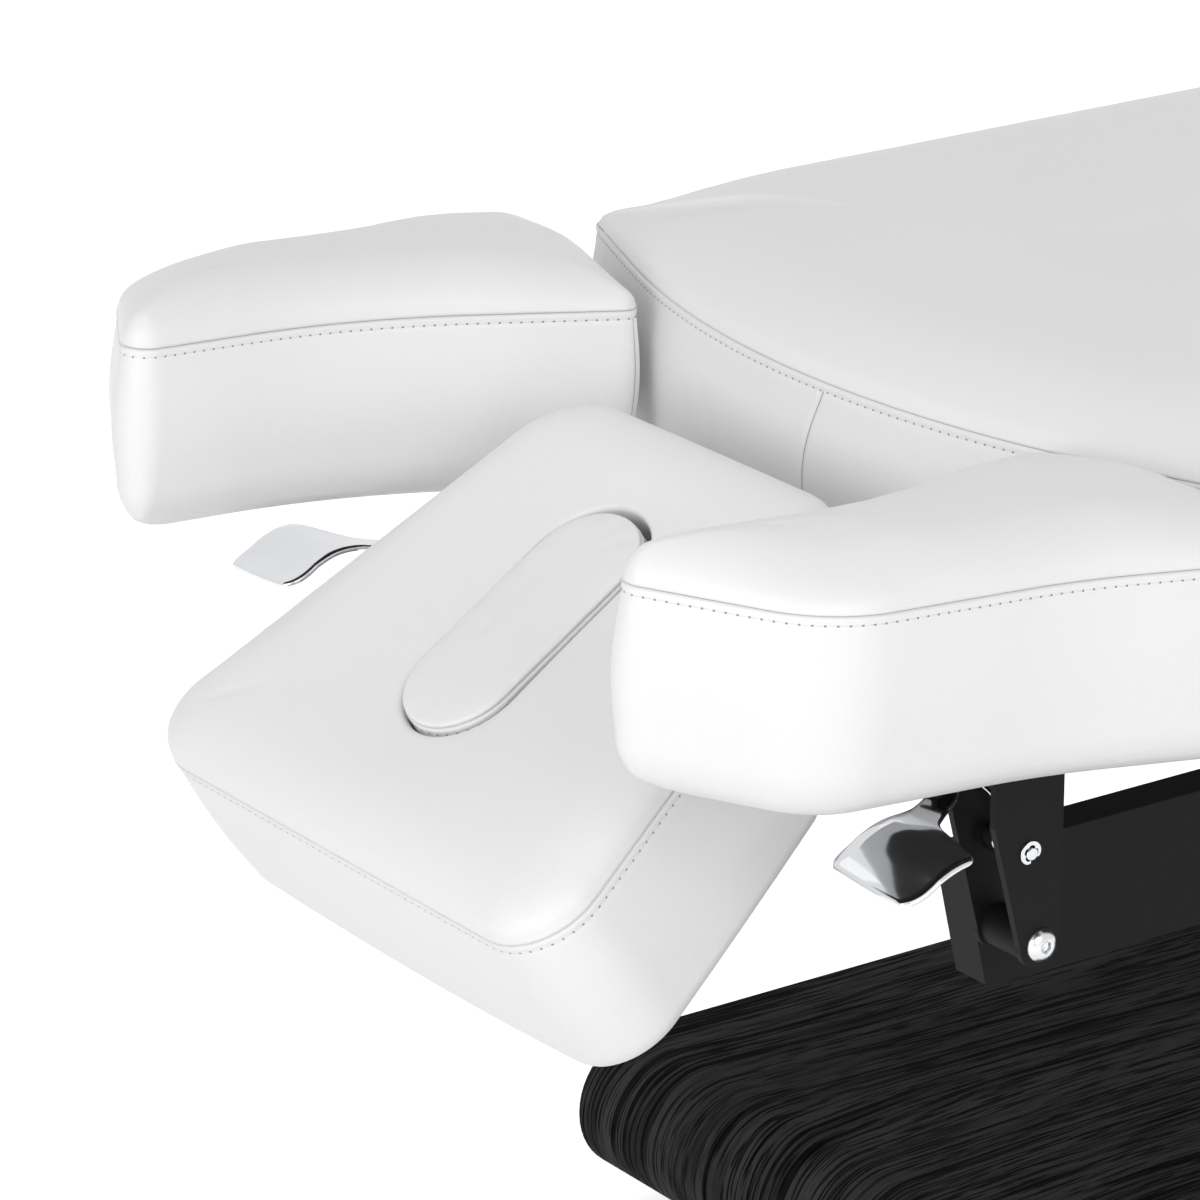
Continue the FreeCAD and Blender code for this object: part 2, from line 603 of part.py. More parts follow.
motor_lug_y = ("motor_y - motor_lug_half", "motor_y + motor_lug_half")
for side in (1, -1):
    lug = box(MOTOR_LUG_X, motor_lug_y, ("base_top", "motor_z + motor_lug_half"), side)
    lower_forks.append(cut(lug, rod(MOTOR_LUG_X, "motor_y", "motor_z", "motor_pin_radius", side)))
lower_pins.append(rod(("-21", "21"), "motor_y", "motor_z", "motor_pin_radius"))
node("base_clevises", group(*lower_forks))
node("lift_lower_pins", group(*lower_pins))
node("seat_clevises", group(*upper_forks))
node("lift_upper_pins", group(*upper_pins))
node("seat_lift_beams", group(*beams))

# Steel frames under the boards: spines, cross tubes, uprights and deep side rails

SPINE_X = ("spine_centre_x - spine_wide / 2", "spine_centre_x + spine_wide / 2")


def sub_frame(prefix, spine_y, cross_ys, cross_half):
    """Two spine tubes under a board and the cross tubes below them."""
    spines = [tube(SPINE_X, spine_y, ("spine_bottom", "pad_bottom"), "y", side=side) for side in (1, -1)]
    node(f"{prefix}_spines", group(*spines))
    crosses = [
        tube((f"-({cross_half})", cross_half), (f"{y} - cross_wide / 2", f"{y} + cross_wide / 2"),
             ("cross_bottom", "spine_bottom"), "x")
        for y in cross_ys
    ]
    uprights = [
        box(("rail_inner_x", "rail_outer_x"), (f"{y} - cross_wide / 2", f"{y} + cross_wide / 2"),
            ("rail_top", "cross_bottom"), side)
        for y in cross_ys
        for side in (1, -1)
    ]
    node(f"{prefix}_cross_frame", group(*crosses, *uprights))


sub_frame("back", ("back_apex_y + 2", "back_foot_y - 30"), ("back_cross_head_y", "back_cross_foot_y"), "moving_strap_x")
sub_frame("seat", ("seat_head_y + 30", "seat_foot_y - 30"), ("seat_cross_head_y", "seat_cross_foot_y"), "hinge_strap_x")

back_rail_outline = [
    ("back_rail_head_y + back_rail_rake", "rail_bottom"),
    ("back_rail_foot_y", "rail_bottom"),
    ("back_rail_foot_y", "rail_top"),
    ("back_rail_head_y", "rail_top"),
]
pivot_bore = ("pivot_y", "pivot_z", "pivot_bolt_radius")
for side_name, side in (("near", 1), ("far", -1)):
    rail_x = ("rail_inner_x", "rail_outer_x")
    rail = plate(rail_x, back_rail_outline, [pivot_bore], side, [(0, "rail_wall"), (1, "rail_wall")])
    hollow_x = ("rail_inner_x - 1", "rail_outer_x - rail_wall")
    hollow_y = ("pivot_y + bolt_head_radius * 3", "back_rail_foot_y - rail_wall")
    hollow = box(hollow_x, hollow_y, ("rail_bottom + rail_wall", "rail_top - rail_wall"), side)
    node(f"back_rail_{side_name}", cut(rail, hollow))

seat_rails = []
for side in (1, -1):
    rail_y = ("seat_rail_head_y", "seat_rail_foot_y")
    full = box(("rail_inner_x", "rail_outer_x"), rail_y, ("rail_bottom", "rail_top"), side)
    hollow_x = ("rail_inner_x + rail_wall", "rail_outer_x + 1")
    hollow_z = ("rail_bottom + rail_wall", "rail_top - rail_wall")
    seat_rails.append(cut(full, box(hollow_x, ("seat_rail_head_y - 1", "seat_rail_foot_y + 1"), hollow_z, side)))
node("seat_rails", group(*seat_rails))

# Leg rest frame: shallow, so that it folds down clear of the seat

leg_spine_y = ("leg_cross_head_y - cross_wide / 2", "leg_cross_foot_y + cross_wide / 2")
leg_spines = [tube(SPINE_X, leg_spine_y, ("spine_bottom", "pad_bottom"), "y", side=side) for side in (1, -1)]
leg_crosses = [
    tube(("-moving_strap_x", "moving_strap_x"), (f"{y} - cross_wide / 2", f"{y} + cross_wide / 2"),
         ("leg_cross_bottom", "spine_bottom"), "x")
    for y in ("leg_cross_head_y", "leg_cross_foot_y")
]
node("leg_frame", group(*leg_spines, *leg_crosses))

# Hinges of the back and the leg rest: straps with knuckles, side by side on one pin

pin_bore_radius = "hinge_pin_radius + running_play"
seat_strap_x = ("hinge_strap_x", "hinge_strap_x + strap_thick")
moving_strap_limits = ("moving_strap_x", "moving_strap_x + strap_thick")


def strap(x, reach_y, level, pivot, side):
    """An upright strap in the gap at a hinge, with a foot along a cross tube and a bored knuckle at its top."""
    pivot_y, pivot_z = pivot
    upright_y = (f"{pivot_y} - strap_half", f"{pivot_y} + strap_half")
    upright = box(x, upright_y, (level[0], pivot_z), side)
    foot_bar = box(x, reach_y, level, side)
    knuckle = rod(x, pivot_y, pivot_z, "strap_half", side)
    return cut(fuse(upright, foot_bar, knuckle), rod(x, pivot_y, pivot_z, pin_bore_radius, side))


back_pivot = ("back_joint_y", "back_hinge_z")
leg_pivot = ("leg_joint_y", "leg_hinge_z")
cross_level = ("cross_bottom", "spine_bottom")
seat_straps, back_straps, leg_straps, back_pins, leg_pins = [], [], [], [], []
for side in (1, -1):
    toward_seat = ("back_joint_y - strap_half", "seat_cross_head_y + cross_wide / 2")
    seat_straps.append(strap(seat_strap_x, toward_seat, cross_level, back_pivot, side))
    toward_back = ("back_cross_foot_y - cross_wide / 2", "back_joint_y + strap_half")
    back_straps.append(strap(moving_strap_limits, toward_back, cross_level, back_pivot, side))
    toward_foot = ("seat_cross_foot_y - cross_wide / 2", "leg_joint_y + strap_half")
    seat_straps.append(strap(seat_strap_x, toward_foot, cross_level, leg_pivot, side))
    toward_leg = ("leg_joint_y - strap_half", "leg_cross_head_y + cross_wide / 2")
    leg_level = ("leg_cross_bottom", "spine_bottom")
    leg_straps.append(strap(moving_strap_limits, toward_leg, leg_level, leg_pivot, side))
    pin_x = ("hinge_strap_x - 2", "moving_strap_x + strap_thick + 2")
    back_pins.append(rod(pin_x, "back_joint_y", "back_hinge_z", "hinge_pin_radius", side))
    leg_pins.append(rod(pin_x, "leg_joint_y", "leg_hinge_z", "hinge_pin_radius", side))
node("seat_hinge_straps", group(*seat_straps))
node("back_hinge_straps", group(*back_straps))
node("leg_hinge_straps", group(*leg_straps))
node("bed_hinge_pins", group(*back_pins, *leg_pins))

# Headrest: a tapered pad with a face slot and its plug, on a board and two carrier arms

head_long, head_tilt = size("head_long"), math.radians(size("head_tilt"))
head_edge_y = size("head_back_y") - head_long * math.cos(head_tilt)
head_edge_z = size("head_back_z") - head_long * math.sin(head_tilt)
head_place = Placement(Vector(0, head_edge_y, head_edge_z), Rotation(Vector(1, 0, 0), size("head_tilt")))
half_head, half_back = size("head_half_head"), size("head_half_back")
head_corners = [(-half_head, 0), (half_head, 0), (half_back, head_long), (-half_back, head_long)]
head_radii = [size("head_corner_head")] * 2 + [size("head_corner_back")] * 2
head_low = -size("head_boxing")
slot_half = size("face_slot_half")
slot_start, slot_end = size("face_slot_start"), size("face_slot_end")
slot_corners = [(-slot_half, slot_start), (slot_half, slot_start), (slot_half, slot_end), (-slot_half, slot_end)]
SLOT_END_FLAT = 0.5
slot_radii = [slot_half - SLOT_END_FLAT] * 4

head_top, taper_start = size("head_crown"), size("head_taper_start")
PAST = 1


def headrest_taper():
    """What the headrest loses underneath, so that it thins towards its hinge."""
    past_end = head_long + size("head_corner_back")
    fall = (size("head_boxing") - size("head_back_boxing")) / (head_long - taper_start)
    corners = [
        Vector(-half_head, taper_start, head_low - PAST),
        Vector(-half_head, past_end, head_low - PAST),
        Vector(-half_head, past_end, head_low + fall * (past_end - taper_start)),
        Vector(-half_head, taper_start, head_low),
    ]
    return Part.Face(Part.makePolygon(corners + corners[:1])).extrude(Vector(2 * half_head, 0, 0))


head_pad = cushion(head_corners, head_radii, head_low, 0, head_top, size("head_crown_inset"))
slot_cut = slab(slot_corners, slot_radii, head_low - PAST, head_top + PAST)
board_high = head_low + size("head_board_thick")
ledge = size("face_ledge")
head_board = slab(head_corners, head_radii, head_low, board_high, size("board_inset"))
keep = Part.makeBox(2 * half_head, taper_start, size("head_board_thick"), Vector(-half_head, 0, head_low))
head_board = head_board.common(keep)
soft("headrest_pad", head_pad.cut(slot_cut).cut(head_board).cut(headrest_taper()), head_place)
head_board = head_board.cut(slab(slot_corners, slot_radii, head_low - PAST, board_high + PAST, ledge))
soft("headrest_board", head_board, head_place)

plug_play = size("plug_play")
plug_body = slab(slot_corners, slot_radii, board_high, size("plug_edge_rise"), plug_play)
plug_rim = outline(slot_corners, slot_radii, plug_play, size("plug_edge_rise"))
plug_top_inset = slot_half / 2
plug_top = outline(slot_corners, slot_radii, plug_top_inset, size("plug_edge_rise") + size("plug_crown"))
soft("face_plug", plug_body.fuse(Part.makeLoft([plug_rim, plug_top], True, True)), head_place)

hinge_row = Vector(0, size("head_hinge_y"), size("head_hinge_z"))
hinge_local = head_place.inverse().multVec(hinge_row)
knuckle, arm_tall = size("head_knuckle"), size("head_arm_tall")
pin_radius, play = size("hinge_pin_radius"), size("running_play")
lug_x, thick = size("head_hinge_x"), size("strap_thick")
X_AXIS = Vector(1, 0, 0)


def mirrored_pair(make):
    """The same piece on both sides of the bed."""
    near = make()
    return Part.makeCompound([near, near.mirror(Vector(), X_AXIS)])


def carrier_arm():
    """A flat bar under the headrest board that ends in a bored knuckle at the hinge."""
    start_x = lug_x + thick + size("strap_play")
    bar_low = head_low - arm_tall
    start = size("head_arm_start")
    bar = Part.makeBox(thick, taper_start - start, arm_tall, Vector(start_x, start, bar_low))
    corners = [
        Vector(start_x, taper_start - 2 * arm_tall, bar_low),
        Vector(start_x, hinge_local.y, hinge_local.z - knuckle),
        Vector(start_x, hinge_local.y, hinge_local.z + knuckle / 2),
        Vector(start_x, taper_start, head_low),
        Vector(start_x, taper_start - 2 * arm_tall, head_low),
    ]
    neck = Part.Face(Part.makePolygon(corners + corners[:1])).extrude(Vector(thick, 0, 0))
    centre = Vector(start_x, hinge_local.y, hinge_local.z)
    eye = Part.makeCylinder(knuckle, thick, centre, X_AXIS)
    bore = Part.makeCylinder(pin_radius + play, thick, centre, X_AXIS)
    return bar.fuse([neck, eye]).removeSplitter().cut(bore)


soft("headrest_carrier", mirrored_pair(carrier_arm), head_place)


def hinge_lug():
    """A lug on a spine tube's head end that holds the headrest's pin."""
    low, high = size("spine_bottom"), size("pad_bottom")
    tube_end = size("back_apex_y") + 2
    inner = lug_x
    corners = [
        Vector(inner, tube_end, low),
        Vector(inner, tube_end, high),
        Vector(inner, hinge_row.y + knuckle * 0.8, hinge_row.z),
        Vector(inner, hinge_row.y - knuckle * 0.8, hinge_row.z - knuckle / 2),
    ]
    web = Part.Face(Part.makePolygon(corners + corners[:1])).extrude(Vector(thick, 0, 0))
    centre = Vector(inner, hinge_row.y, hinge_row.z)
    eye = Part.makeCylinder(knuckle, thick, centre, X_AXIS)
    return web.fuse(eye).removeSplitter().cut(Part.makeCylinder(pin_radius, thick, centre, X_AXIS))


soft("headrest_hinge_lugs", mirrored_pair(hinge_lug))
PIN_END = 2
pin_half = lug_x + 2 * thick + size("strap_play") + PIN_END
pin = Part.makeCylinder(pin_radius, 2 * pin_half, Vector(-pin_half, hinge_row.y, hinge_row.z), X_AXIS)
soft("headrest_hinge_pin", pin)

# Lift drive: a motor between lugs on the base, whose rod pushes the crank of the rear lift arm

drive_place = Placement(Vector(0, size("motor_y"), size("motor_z")), Rotation(X_AXIS, 180 - size("motor_tilt")))
Y_AXIS = Vector(0, 1, 0)
motor_half, case_long = size("motor_wide") / 2, size("motor_case_long")
case_over, case_under = size("motor_case_over"), size("motor_case_under")
eye_half = 12.5
case_start = size("motor_case_start")


def along_drive(radius, start, end, drop=0.0):
    return Part.makeCylinder(radius, end - start, Vector(0, start, drop), Y_AXIS)


def across_drive(radius, half, reach):
    return Part.makeCylinder(radius, 2 * half, Vector(-half, reach, 0), X_AXIS)


def lift_motor():
    """Gear case with a rear eye, an outer tube along the drive's line and a motor can beside it."""
    case = Part.makeBox(2 * motor_half, case_long, case_over + case_under, Vector(-motor_half, case_start, -case_over))
    case = case.makeFillet(size("control_round"), case.Edges)
    case_end = case_start + case_long
    neck = Part.makeBox(2 * eye_half, case_start + PAST, 2 * eye_half, Vector(-eye_half, 0, -eye_half))
    eye = across_drive(eye_half, eye_half, 0)
    tube_body = along_drive(size("drive_tube_radius"), case_end - PAST, size("drive_tube_end"))
    can_radius = size("motor_can_radius")
    can = along_drive(can_radius, case_end - PAST, case_end + size("motor_can_long"), case_under - can_radius)
    can_end = [e for e in can.Edges if e.CenterOfMass.y > case_end + PAST and e.Closed]
    can = can.makeFillet(can_radius / 4, can_end[:1])
    whole = case.fuse([neck, eye, tube_body, can])
    bore = along_drive(size("drive_rod_radius") + size("running_play"), case_end + PAST, size("drive_tube_end") + PAST)
    return whole.cut([bore, across_drive(size("motor_pin_radius"), eye_half + PAST, 0)])


def lift_rod():
    """The drive's rod with its flat eye."""
    reach, eye_round = size("drive_rod_reach"), size("drive_eye_radius")
    shaft = along_drive(size("drive_rod_radius"), size("drive_rod_start"), reach - eye_round / 2)
    eye = across_drive(eye_round, size("drive_rod_radius") - PAST, reach)
    return shaft.fuse(eye).removeSplitter().cut(across_drive(size("drive_eye_bore"), size("motor_wide"), reach))


soft("lift_motor", lift_motor(), drive_place)
soft("lift_rod", lift_rod(), drive_place)

# Control box under the seat's cross tubes, with a mains inlet in its foot end

INLET_WIDE, INLET_TALL, INLET_DEEP = 27, 20, 14
control_half, control_tall = size("control_half_wide"), size("control_tall")
control_start, control_end = size("seat_cross_head_y"), size("seat_cross_foot_y")
control_top = size("cross_bottom")
control = Part.makeBox(
    2 * control_half, control_end - control_start, control_tall,
    Vector(-control_half, control_start, control_top - control_tall),
)
lower_edges = [e for e in control.Edges if e.CenterOfMass.z < control_top - PAST]
control = control.makeFillet(size("control_round"), lower_edges)
inlet_low = control_top - control_tall / 2 - INLET_TALL / 2
inlet = Part.makeBox(INLET_WIDE, INLET_DEEP, INLET_TALL, Vector(-INLET_WIDE / 2, control_end - INLET_DEEP, inlet_low))
PRONG = (2, 10, 4)
prongs = [
    Part.makeBox(*PRONG, Vector(x - PRONG[0] / 2, control_end - INLET_DEEP, inlet_low + INLET_TALL / 2 + rise))
    for x, rise in ((-7, -5), (0, 1), (7, -5))
]
soft("control_box", control.cut(inlet).fuse(prongs))

# Armrests: tapered pads on boards, each on two plates that swing about a bolt in the back's rail

arm_tilt = Rotation(X_AXIS, -size("arm_pitch"))
arm_place = Placement(Vector(0, size("arm_foot_y"), size("arm_seam_z")), arm_tilt)
inner_foot, outer_foot = size("arm_inner_foot"), size("arm_outer_foot")
inner_tip, outer_tip = size("arm_inner_tip"), size("arm_outer_tip")
arm_long, slant = size("arm_long"), size("arm_tip_slant")
foot_in_y, foot_out_y, tip_out_y = -size("arm_foot_back"), size("arm_foot_ahead"), slant - arm_long
arm_corners = [
    (inner_tip, -arm_long),
    (outer_tip, tip_out_y),
    ((outer_tip + outer_foot) / 2 - size("arm_outer_hollow"), (tip_out_y + foot_out_y) / 2),
    (outer_foot, foot_out_y),
    (inner_foot, foot_in_y),
    ((inner_tip + inner_foot) / 2 + size("arm_inner_hollow"), (foot_in_y - arm_long) / 2),
]
ARM_ROUNDS = ("corner_tip_in", "corner_tip_out", "hollow_radius", "corner_foot_out", "corner_foot_in", "hollow_radius")
arm_radii = [size("arm_" + place) for place in ARM_ROUNDS]
arm_low = -size("arm_boxing")
arm_board_high = arm_low + size("arm_board_thick")
flange_low = arm_low - size("plate_flange_thick")
arm_crown_inset = size("arm_crown_share") * min(outer_foot - inner_foot, outer_tip - inner_tip)
bolt_radius = size("pivot_bolt_radius")
plate_out, plate_in = size("plate_outer_x"), size("plate_inner_x")
plate_gap = (size("plate_inner_out"), size("plate_outer_in"))
pivot = Vector(0, size("pivot_y"), size("pivot_z"))
lever_pin = Vector(0, size("lever_pin_y"), size("lever_pin_z"))
NEAR_MIRROR = {"near": False, "far": True}


def on_side(shape, far):
    return shape.mirror(Vector(), X_AXIS) if far else shape


def along_x(radius, start, end, centre):
    return Part.makeCylinder(radius, end - start, Vector(start, centre.y, centre.z), X_AXIS)


def flange_height(y):
    """Height of the flange's underside, which follows the armrest's pitch."""
    tilt = math.radians(size("arm_pitch"))
    foot = Vector(0, size("arm_foot_y"), size("arm_seam_z"))
    level = foot.z + flange_low / math.cos(tilt)
    return level - (y - foot.y) * math.tan(tilt)


def armrest_plate(start):
    """One swing plate: a rounded lower end at the pivot, and a neck that widens up to the flange."""
    head_y, foot_y = pivot.y - size("plate_head_reach"), pivot.y + size("plate_foot_reach")
    end = size("plate_end_radius")
    neck = pivot.z + size("plate_neck_rise")
    corners = [
        Vector(start, head_y, neck),
        Vector(start, pivot.y - end, pivot.z),
        Vector(start, foot_y, pivot.z),
        Vector(start, foot_y, flange_height(foot_y)),
        Vector(start, head_y, flange_height(head_y)),
    ]
    thick = size("plate_thick")
    web = Part.Face(Part.makePolygon(corners + corners[:1])).extrude(Vector(thick, 0, 0))
    swing_end = along_x(end, start, start + thick, pivot)
    bores = [
        along_x(bolt_radius + play, start, start + thick, pivot),
        along_x(size("lever_pin_radius"), start, start + thick, lever_pin),
    ]
    return web.fuse(swing_end).removeSplitter().cut(bores)


def pressed_lever():
    """A pressed lever: a cupped paddle, a bend up to a level shank, a drop to its hub, cut to a waisted plan."""
    thick, hub = size("lever_thick"), size("lever_hub_radius")
    tip_y, tip_z = size("lever_tip_y"), size("lever_tip_z")
    paddle, cup, shank = size("lever_paddle_long"), size("lever_cup"), size("lever_shank_z")
    low_x, high_x = plate_gap[0] + size("lever_side_play"), plate_gap[1] - size("lever_side_play")
    drop_y = lever_pin.y - hub * 2
    line = [
        Vector(0, tip_y, tip_z),
        Vector(0, tip_y + paddle * 0.5, tip_z - cup),
        Vector(0, tip_y + paddle, tip_z),
        Vector(0, tip_y + paddle * 1.7, shank),
        Vector(0, drop_y, shank),
        Vector(0, lever_pin.y, lever_pin.z + hub * 0.5),
    ]
    upper, lower = [], []
    for index, point in enumerate(line):
        before, after = line[max(index - 1, 0)], line[min(index + 1, len(line) - 1)]
        along = (after - before).normalize()
        across = Vector(0, -along.z, along.y) * (thick / 2)
        upper.append(point + across)
        lower.append(point - across)
    ring = upper + lower[::-1]
    paddle_out = size("lever_paddle_out")
    band = Part.Face(Part.makePolygon(ring + ring[:1])).extrude(Vector(paddle_out, 0, 0))
    waist = tip_y + paddle * 1.3
    plan = [
        Vector(low_x, waist + paddle * 0.6, 0),
        Vector(size("lever_paddle_in"), waist, 0),
        Vector(size("lever_paddle_in"), tip_y - thick, 0),
        Vector(paddle_out, tip_y - thick, 0),
        Vector(paddle_out, waist - paddle * 0.3, 0),
        Vector(high_x, waist + paddle, 0),
        Vector(high_x, lever_pin.y + hub, 0),
        Vector(low_x, lever_pin.y + hub, 0),
    ]
    stamp = Part.Face(Part.makePolygon(plan + plan[:1])).extrude(Vector(0, 0, shank * 2))
    eye = along_x(hub, low_x, high_x, lever_pin)
    bore = along_x(size("lever_pin_radius") + play, low_x, high_x, lever_pin)
    return band.common(stamp).fuse(eye).removeSplitter().cut(bore)


for side_name, far in NEAR_MIRROR.items():
    def place(shape):
        """Puts a shape drawn in the armrest's own frame where the armrest sits."""
        shape.Placement = arm_place
        return on_side(shape, far)

    board = slab(arm_corners, arm_radii, arm_low, arm_board_high, size("board_inset"))
    pad = cushion(arm_corners, arm_radii, arm_low, 0, size("arm_crown"), arm_crown_inset, "arm_draw_in").cut(board)
    soft(f"armrest_pad_{side_name}", place(pad))
    soft(f"armrest_board_{side_name}", place(board))
    flange_y = pivot.y - size("plate_head_reach") - size("arm_foot_y")
    flange_long = size("plate_head_reach") + size("plate_foot_reach")
    flange_wide = plate_out - plate_in + size("plate_flange_out")
    flange = Part.makeBox(flange_wide, flange_long, size("plate_flange_thick"), Vector(plate_in, flange_y, flange_low))
    soft(f"armrest_flange_{side_name}", place(flange))
    starts = (plate_in, plate_out - size("plate_thick"))
    soft(f"armrest_plates_{side_name}", on_side(Part.makeCompound([armrest_plate(start) for start in starts]), far))
    spacer = along_x(size("spacer_radius"), *plate_gap, pivot).cut(along_x(bolt_radius + play, *plate_gap, pivot))
    soft(f"armrest_spacer_{side_name}", on_side(spacer, far))
    shank = along_x(bolt_radius, size("rail_inner_x"), plate_out, pivot)
    head = along_x(size("bolt_head_radius"), plate_out, plate_out + size("bolt_head_tall"), pivot)
    edge = [e for e in head.Edges if abs(e.CenterOfMass.x - plate_out - size("bolt_head_tall")) < 1e-6]
    head = head.makeFillet(size("bolt_head_tall") * 0.6, edge)
    soft(f"armrest_bolt_{side_name}", on_side(shank.fuse(head), far))
    stub = along_x(size("lever_pin_radius"), plate_in, plate_out + 2 * size("clip_thick"), lever_pin)
    soft(f"lever_pin_{side_name}", on_side(stub, far))
    clip_start = plate_out
    clip = along_x(size("clip_radius"), clip_start, clip_start + size("clip_thick"), lever_pin)
    clip = clip.cut(along_x(size("lever_pin_radius"), clip_start, clip_start + size("clip_thick"), lever_pin))
    soft(f"lever_clip_{side_name}", on_side(clip, far))
    soft(f"lever_{side_name}", on_side(pressed_lever(), far))

# Every object must be sound before anything is written

doc.recompute()
faulty = [piece.Label for piece in doc.Objects if {"Invalid", "Error"} & set(piece.State)]
assert not faulty, f"failed objects: {faulty}"
unsound = [piece.Label for piece in NODES if piece.Shape.isNull() or not piece.Shape.isValid()]
assert not unsound, f"unsound shapes: {unsound}"
os.makedirs("parts", exist_ok=True)
for piece in NODES:
    piece.Shape.exportStep(os.path.join("parts", piece.Label + ".step"))
whole = Part.makeCompound([piece.Shape for piece in NODES]).BoundBox
print(f"{len(NODES)} nodes, X {whole.XMin:.1f}..{whole.XMax:.1f}, Y {whole.YMin:.1f}..{whole.YMax:.1f}, "
      f"Z {whole.ZMin:.1f}..{whole.ZMax:.1f}")
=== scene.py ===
"""Looks of the treatment lounge: sewn pads, chromed levers, black steel and a black ash base."""

import json
import math
import random

import bpy
import numpy as np
from mathutils import Matrix, Vector


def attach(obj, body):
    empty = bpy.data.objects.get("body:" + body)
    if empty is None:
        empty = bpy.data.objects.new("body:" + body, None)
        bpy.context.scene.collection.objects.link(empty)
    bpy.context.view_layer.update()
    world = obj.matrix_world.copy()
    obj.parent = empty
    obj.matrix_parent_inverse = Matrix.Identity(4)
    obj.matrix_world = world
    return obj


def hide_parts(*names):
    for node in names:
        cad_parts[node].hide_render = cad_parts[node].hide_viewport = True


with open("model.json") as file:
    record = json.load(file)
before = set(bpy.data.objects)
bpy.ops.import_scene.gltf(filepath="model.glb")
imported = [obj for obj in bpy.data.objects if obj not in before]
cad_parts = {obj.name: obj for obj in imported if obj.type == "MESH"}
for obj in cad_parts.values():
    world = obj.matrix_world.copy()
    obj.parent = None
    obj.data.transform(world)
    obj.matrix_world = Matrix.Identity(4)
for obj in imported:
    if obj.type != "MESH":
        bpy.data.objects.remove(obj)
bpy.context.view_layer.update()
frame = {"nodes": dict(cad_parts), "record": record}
MM = 0.001
SIDES = {"near": 1, "far": -1}

# The Mix node's two colour inputs and its colour output
MIX_LOW, MIX_HIGH, MIX_COLOUR = 6, 7, 2


class Shade:
    """A socket of a node tree that takes part in Python sums."""

    def __init__(self, nodes, socket):
        self.nodes = nodes
        self.socket = socket

    def maths(self, operation, *values):
        return self.nodes.node("Math", {"operation": operation}, values)

    def __add__(self, other):
        return self.maths("ADD", self, other)

    def __rsub__(self, other):
        return self.maths("SUBTRACT", other, self)

    def __mul__(self, other):
        return self.maths("MULTIPLY", self, other)

    def __truediv__(self, other):
        return self.maths("DIVIDE", self, other)

    def larger(self, other):
        return self.maths("MAXIMUM", self, other)

    __radd__ = __add__
    __rmul__ = __mul__


class Nodes:
    """A node tree that is fed with fixed values and with shades."""

    def __init__(self, tree):
        self.tree = tree

    def feed(self, socket, value):
        if isinstance(value, Shade):
            self.tree.links.new(value.socket, socket)
        else:
            socket.default_value = value

    def node(self, kind, settings=None, values=(), out=0):
        made = self.tree.nodes.new(f"ShaderNode{kind}")
        for key, value in (settings or {}).items():
            if key == "stops":
                self.set_stops(made.color_ramp, value)
            else:
                setattr(made, key, value)
        pairs = values.items() if isinstance(values, dict) else enumerate(values)
        for key, value in pairs:
            self.feed(made.inputs[key], value)
        return Shade(self, made.outputs[out])

    def parts(self, shade):
        """All outputs of a shade's node, by number."""
        return [Shade(self, socket) for socket in shade.socket.node.outputs]

    @staticmethod
    def set_stops(ramp, stops):
        while len(ramp.elements) < len(stops):
            ramp.elements.new(1.0)
        for element, (place, level) in zip(ramp.elements, stops):
            element.position = place
            element.color = (level, level, level, 1)

    def pale_rays(self):
        """1 on the rays that see the pale background: direct, reflected or through glass."""
        outputs = self.node("LightPath").socket.node.outputs
        kinds = ("Camera", "Glossy", "Transmission")
        camera, glossy, clear = [Shade(self, outputs[f"Is {kind} Ray"]) for kind in kinds]
        return camera.larger(glossy).larger(clear)


class Finish(Nodes):
    """A material whose fixed values sit on its shader and whose changing values are linked."""

    def __init__(self, name, **fixed):
        self.material = bpy.data.materials.new(name)
        self.material.use_nodes = True
        super().__init__(self.material.node_tree)
        self.shader = self.tree.nodes["Principled BSDF"]
        for name_of_socket, value in fixed.items():
            self.set(name_of_socket.replace("_", " "), value)

    def set(self, name_of_socket, value):
        self.feed(self.shader.inputs[name_of_socket], value)

    def place(self, stretch=(1, 1, 1)):
        """Points of the object in metres, stretched per axis."""
        point = self.node("TexCoord", out="Object")
        return self.node("Mapping", None, {"Vector": point, "Scale": stretch})

    def cloud(self, point, scale, detail=3.0, rough=0.5):
        values = {"Vector": point, "Scale": scale, "Detail": detail, "Roughness": rough}
        return self.node("TexNoise", None, values)

    def ramp(self, value, *stops):
        return self.node("ValToRGB", {"stops": stops}, [value])

    def tint(self, factor, low, high):
        """A colour between two, as (r, g, b)."""
        values = {"Factor": factor, MIX_LOW: (*low, 1), MIX_HIGH: (*high, 1)}
        return self.node("Mix", {"data_type": "RGBA"}, values, out=MIX_COLOUR)

    def bump(self, height, depth, strength=1.0):
        relief = self.node("Bump", None, {"Height": height, "Distance": depth, "Strength": strength})
        self.set("Normal", relief)


def faux_leather(name, low, high, grain=0.00012):
    """Coated fabric with a fine grain of cells."""
    made = Finish(name, IOR=1.47, Coat_Roughness=0.35)
    point = made.place()
    broad = made.cloud(point, 5.0, 2.0)
    fine = made.cloud(point, 420.0, 3.0, 0.6)
    cell_values = {"Vector": point, "Scale": 780.0, "Randomness": 1.0}
    cells = made.node("TexVoronoi", {"feature": "DISTANCE_TO_EDGE"}, cell_values)
    creases = made.ramp(cells, (0.0, 0.0), (0.12, 1.0))
    made.set("Base Color", made.tint(broad * 0.7 + fine * 0.3, low, high))
    made.set("Roughness", 0.36 + 0.1 * fine + 0.06 * broad)
    made.set("Coat Weight", 0.12 + 0.08 * broad)
    made.bump(creases * 0.6 + fine * 0.4, grain, 0.5)
    return made.material


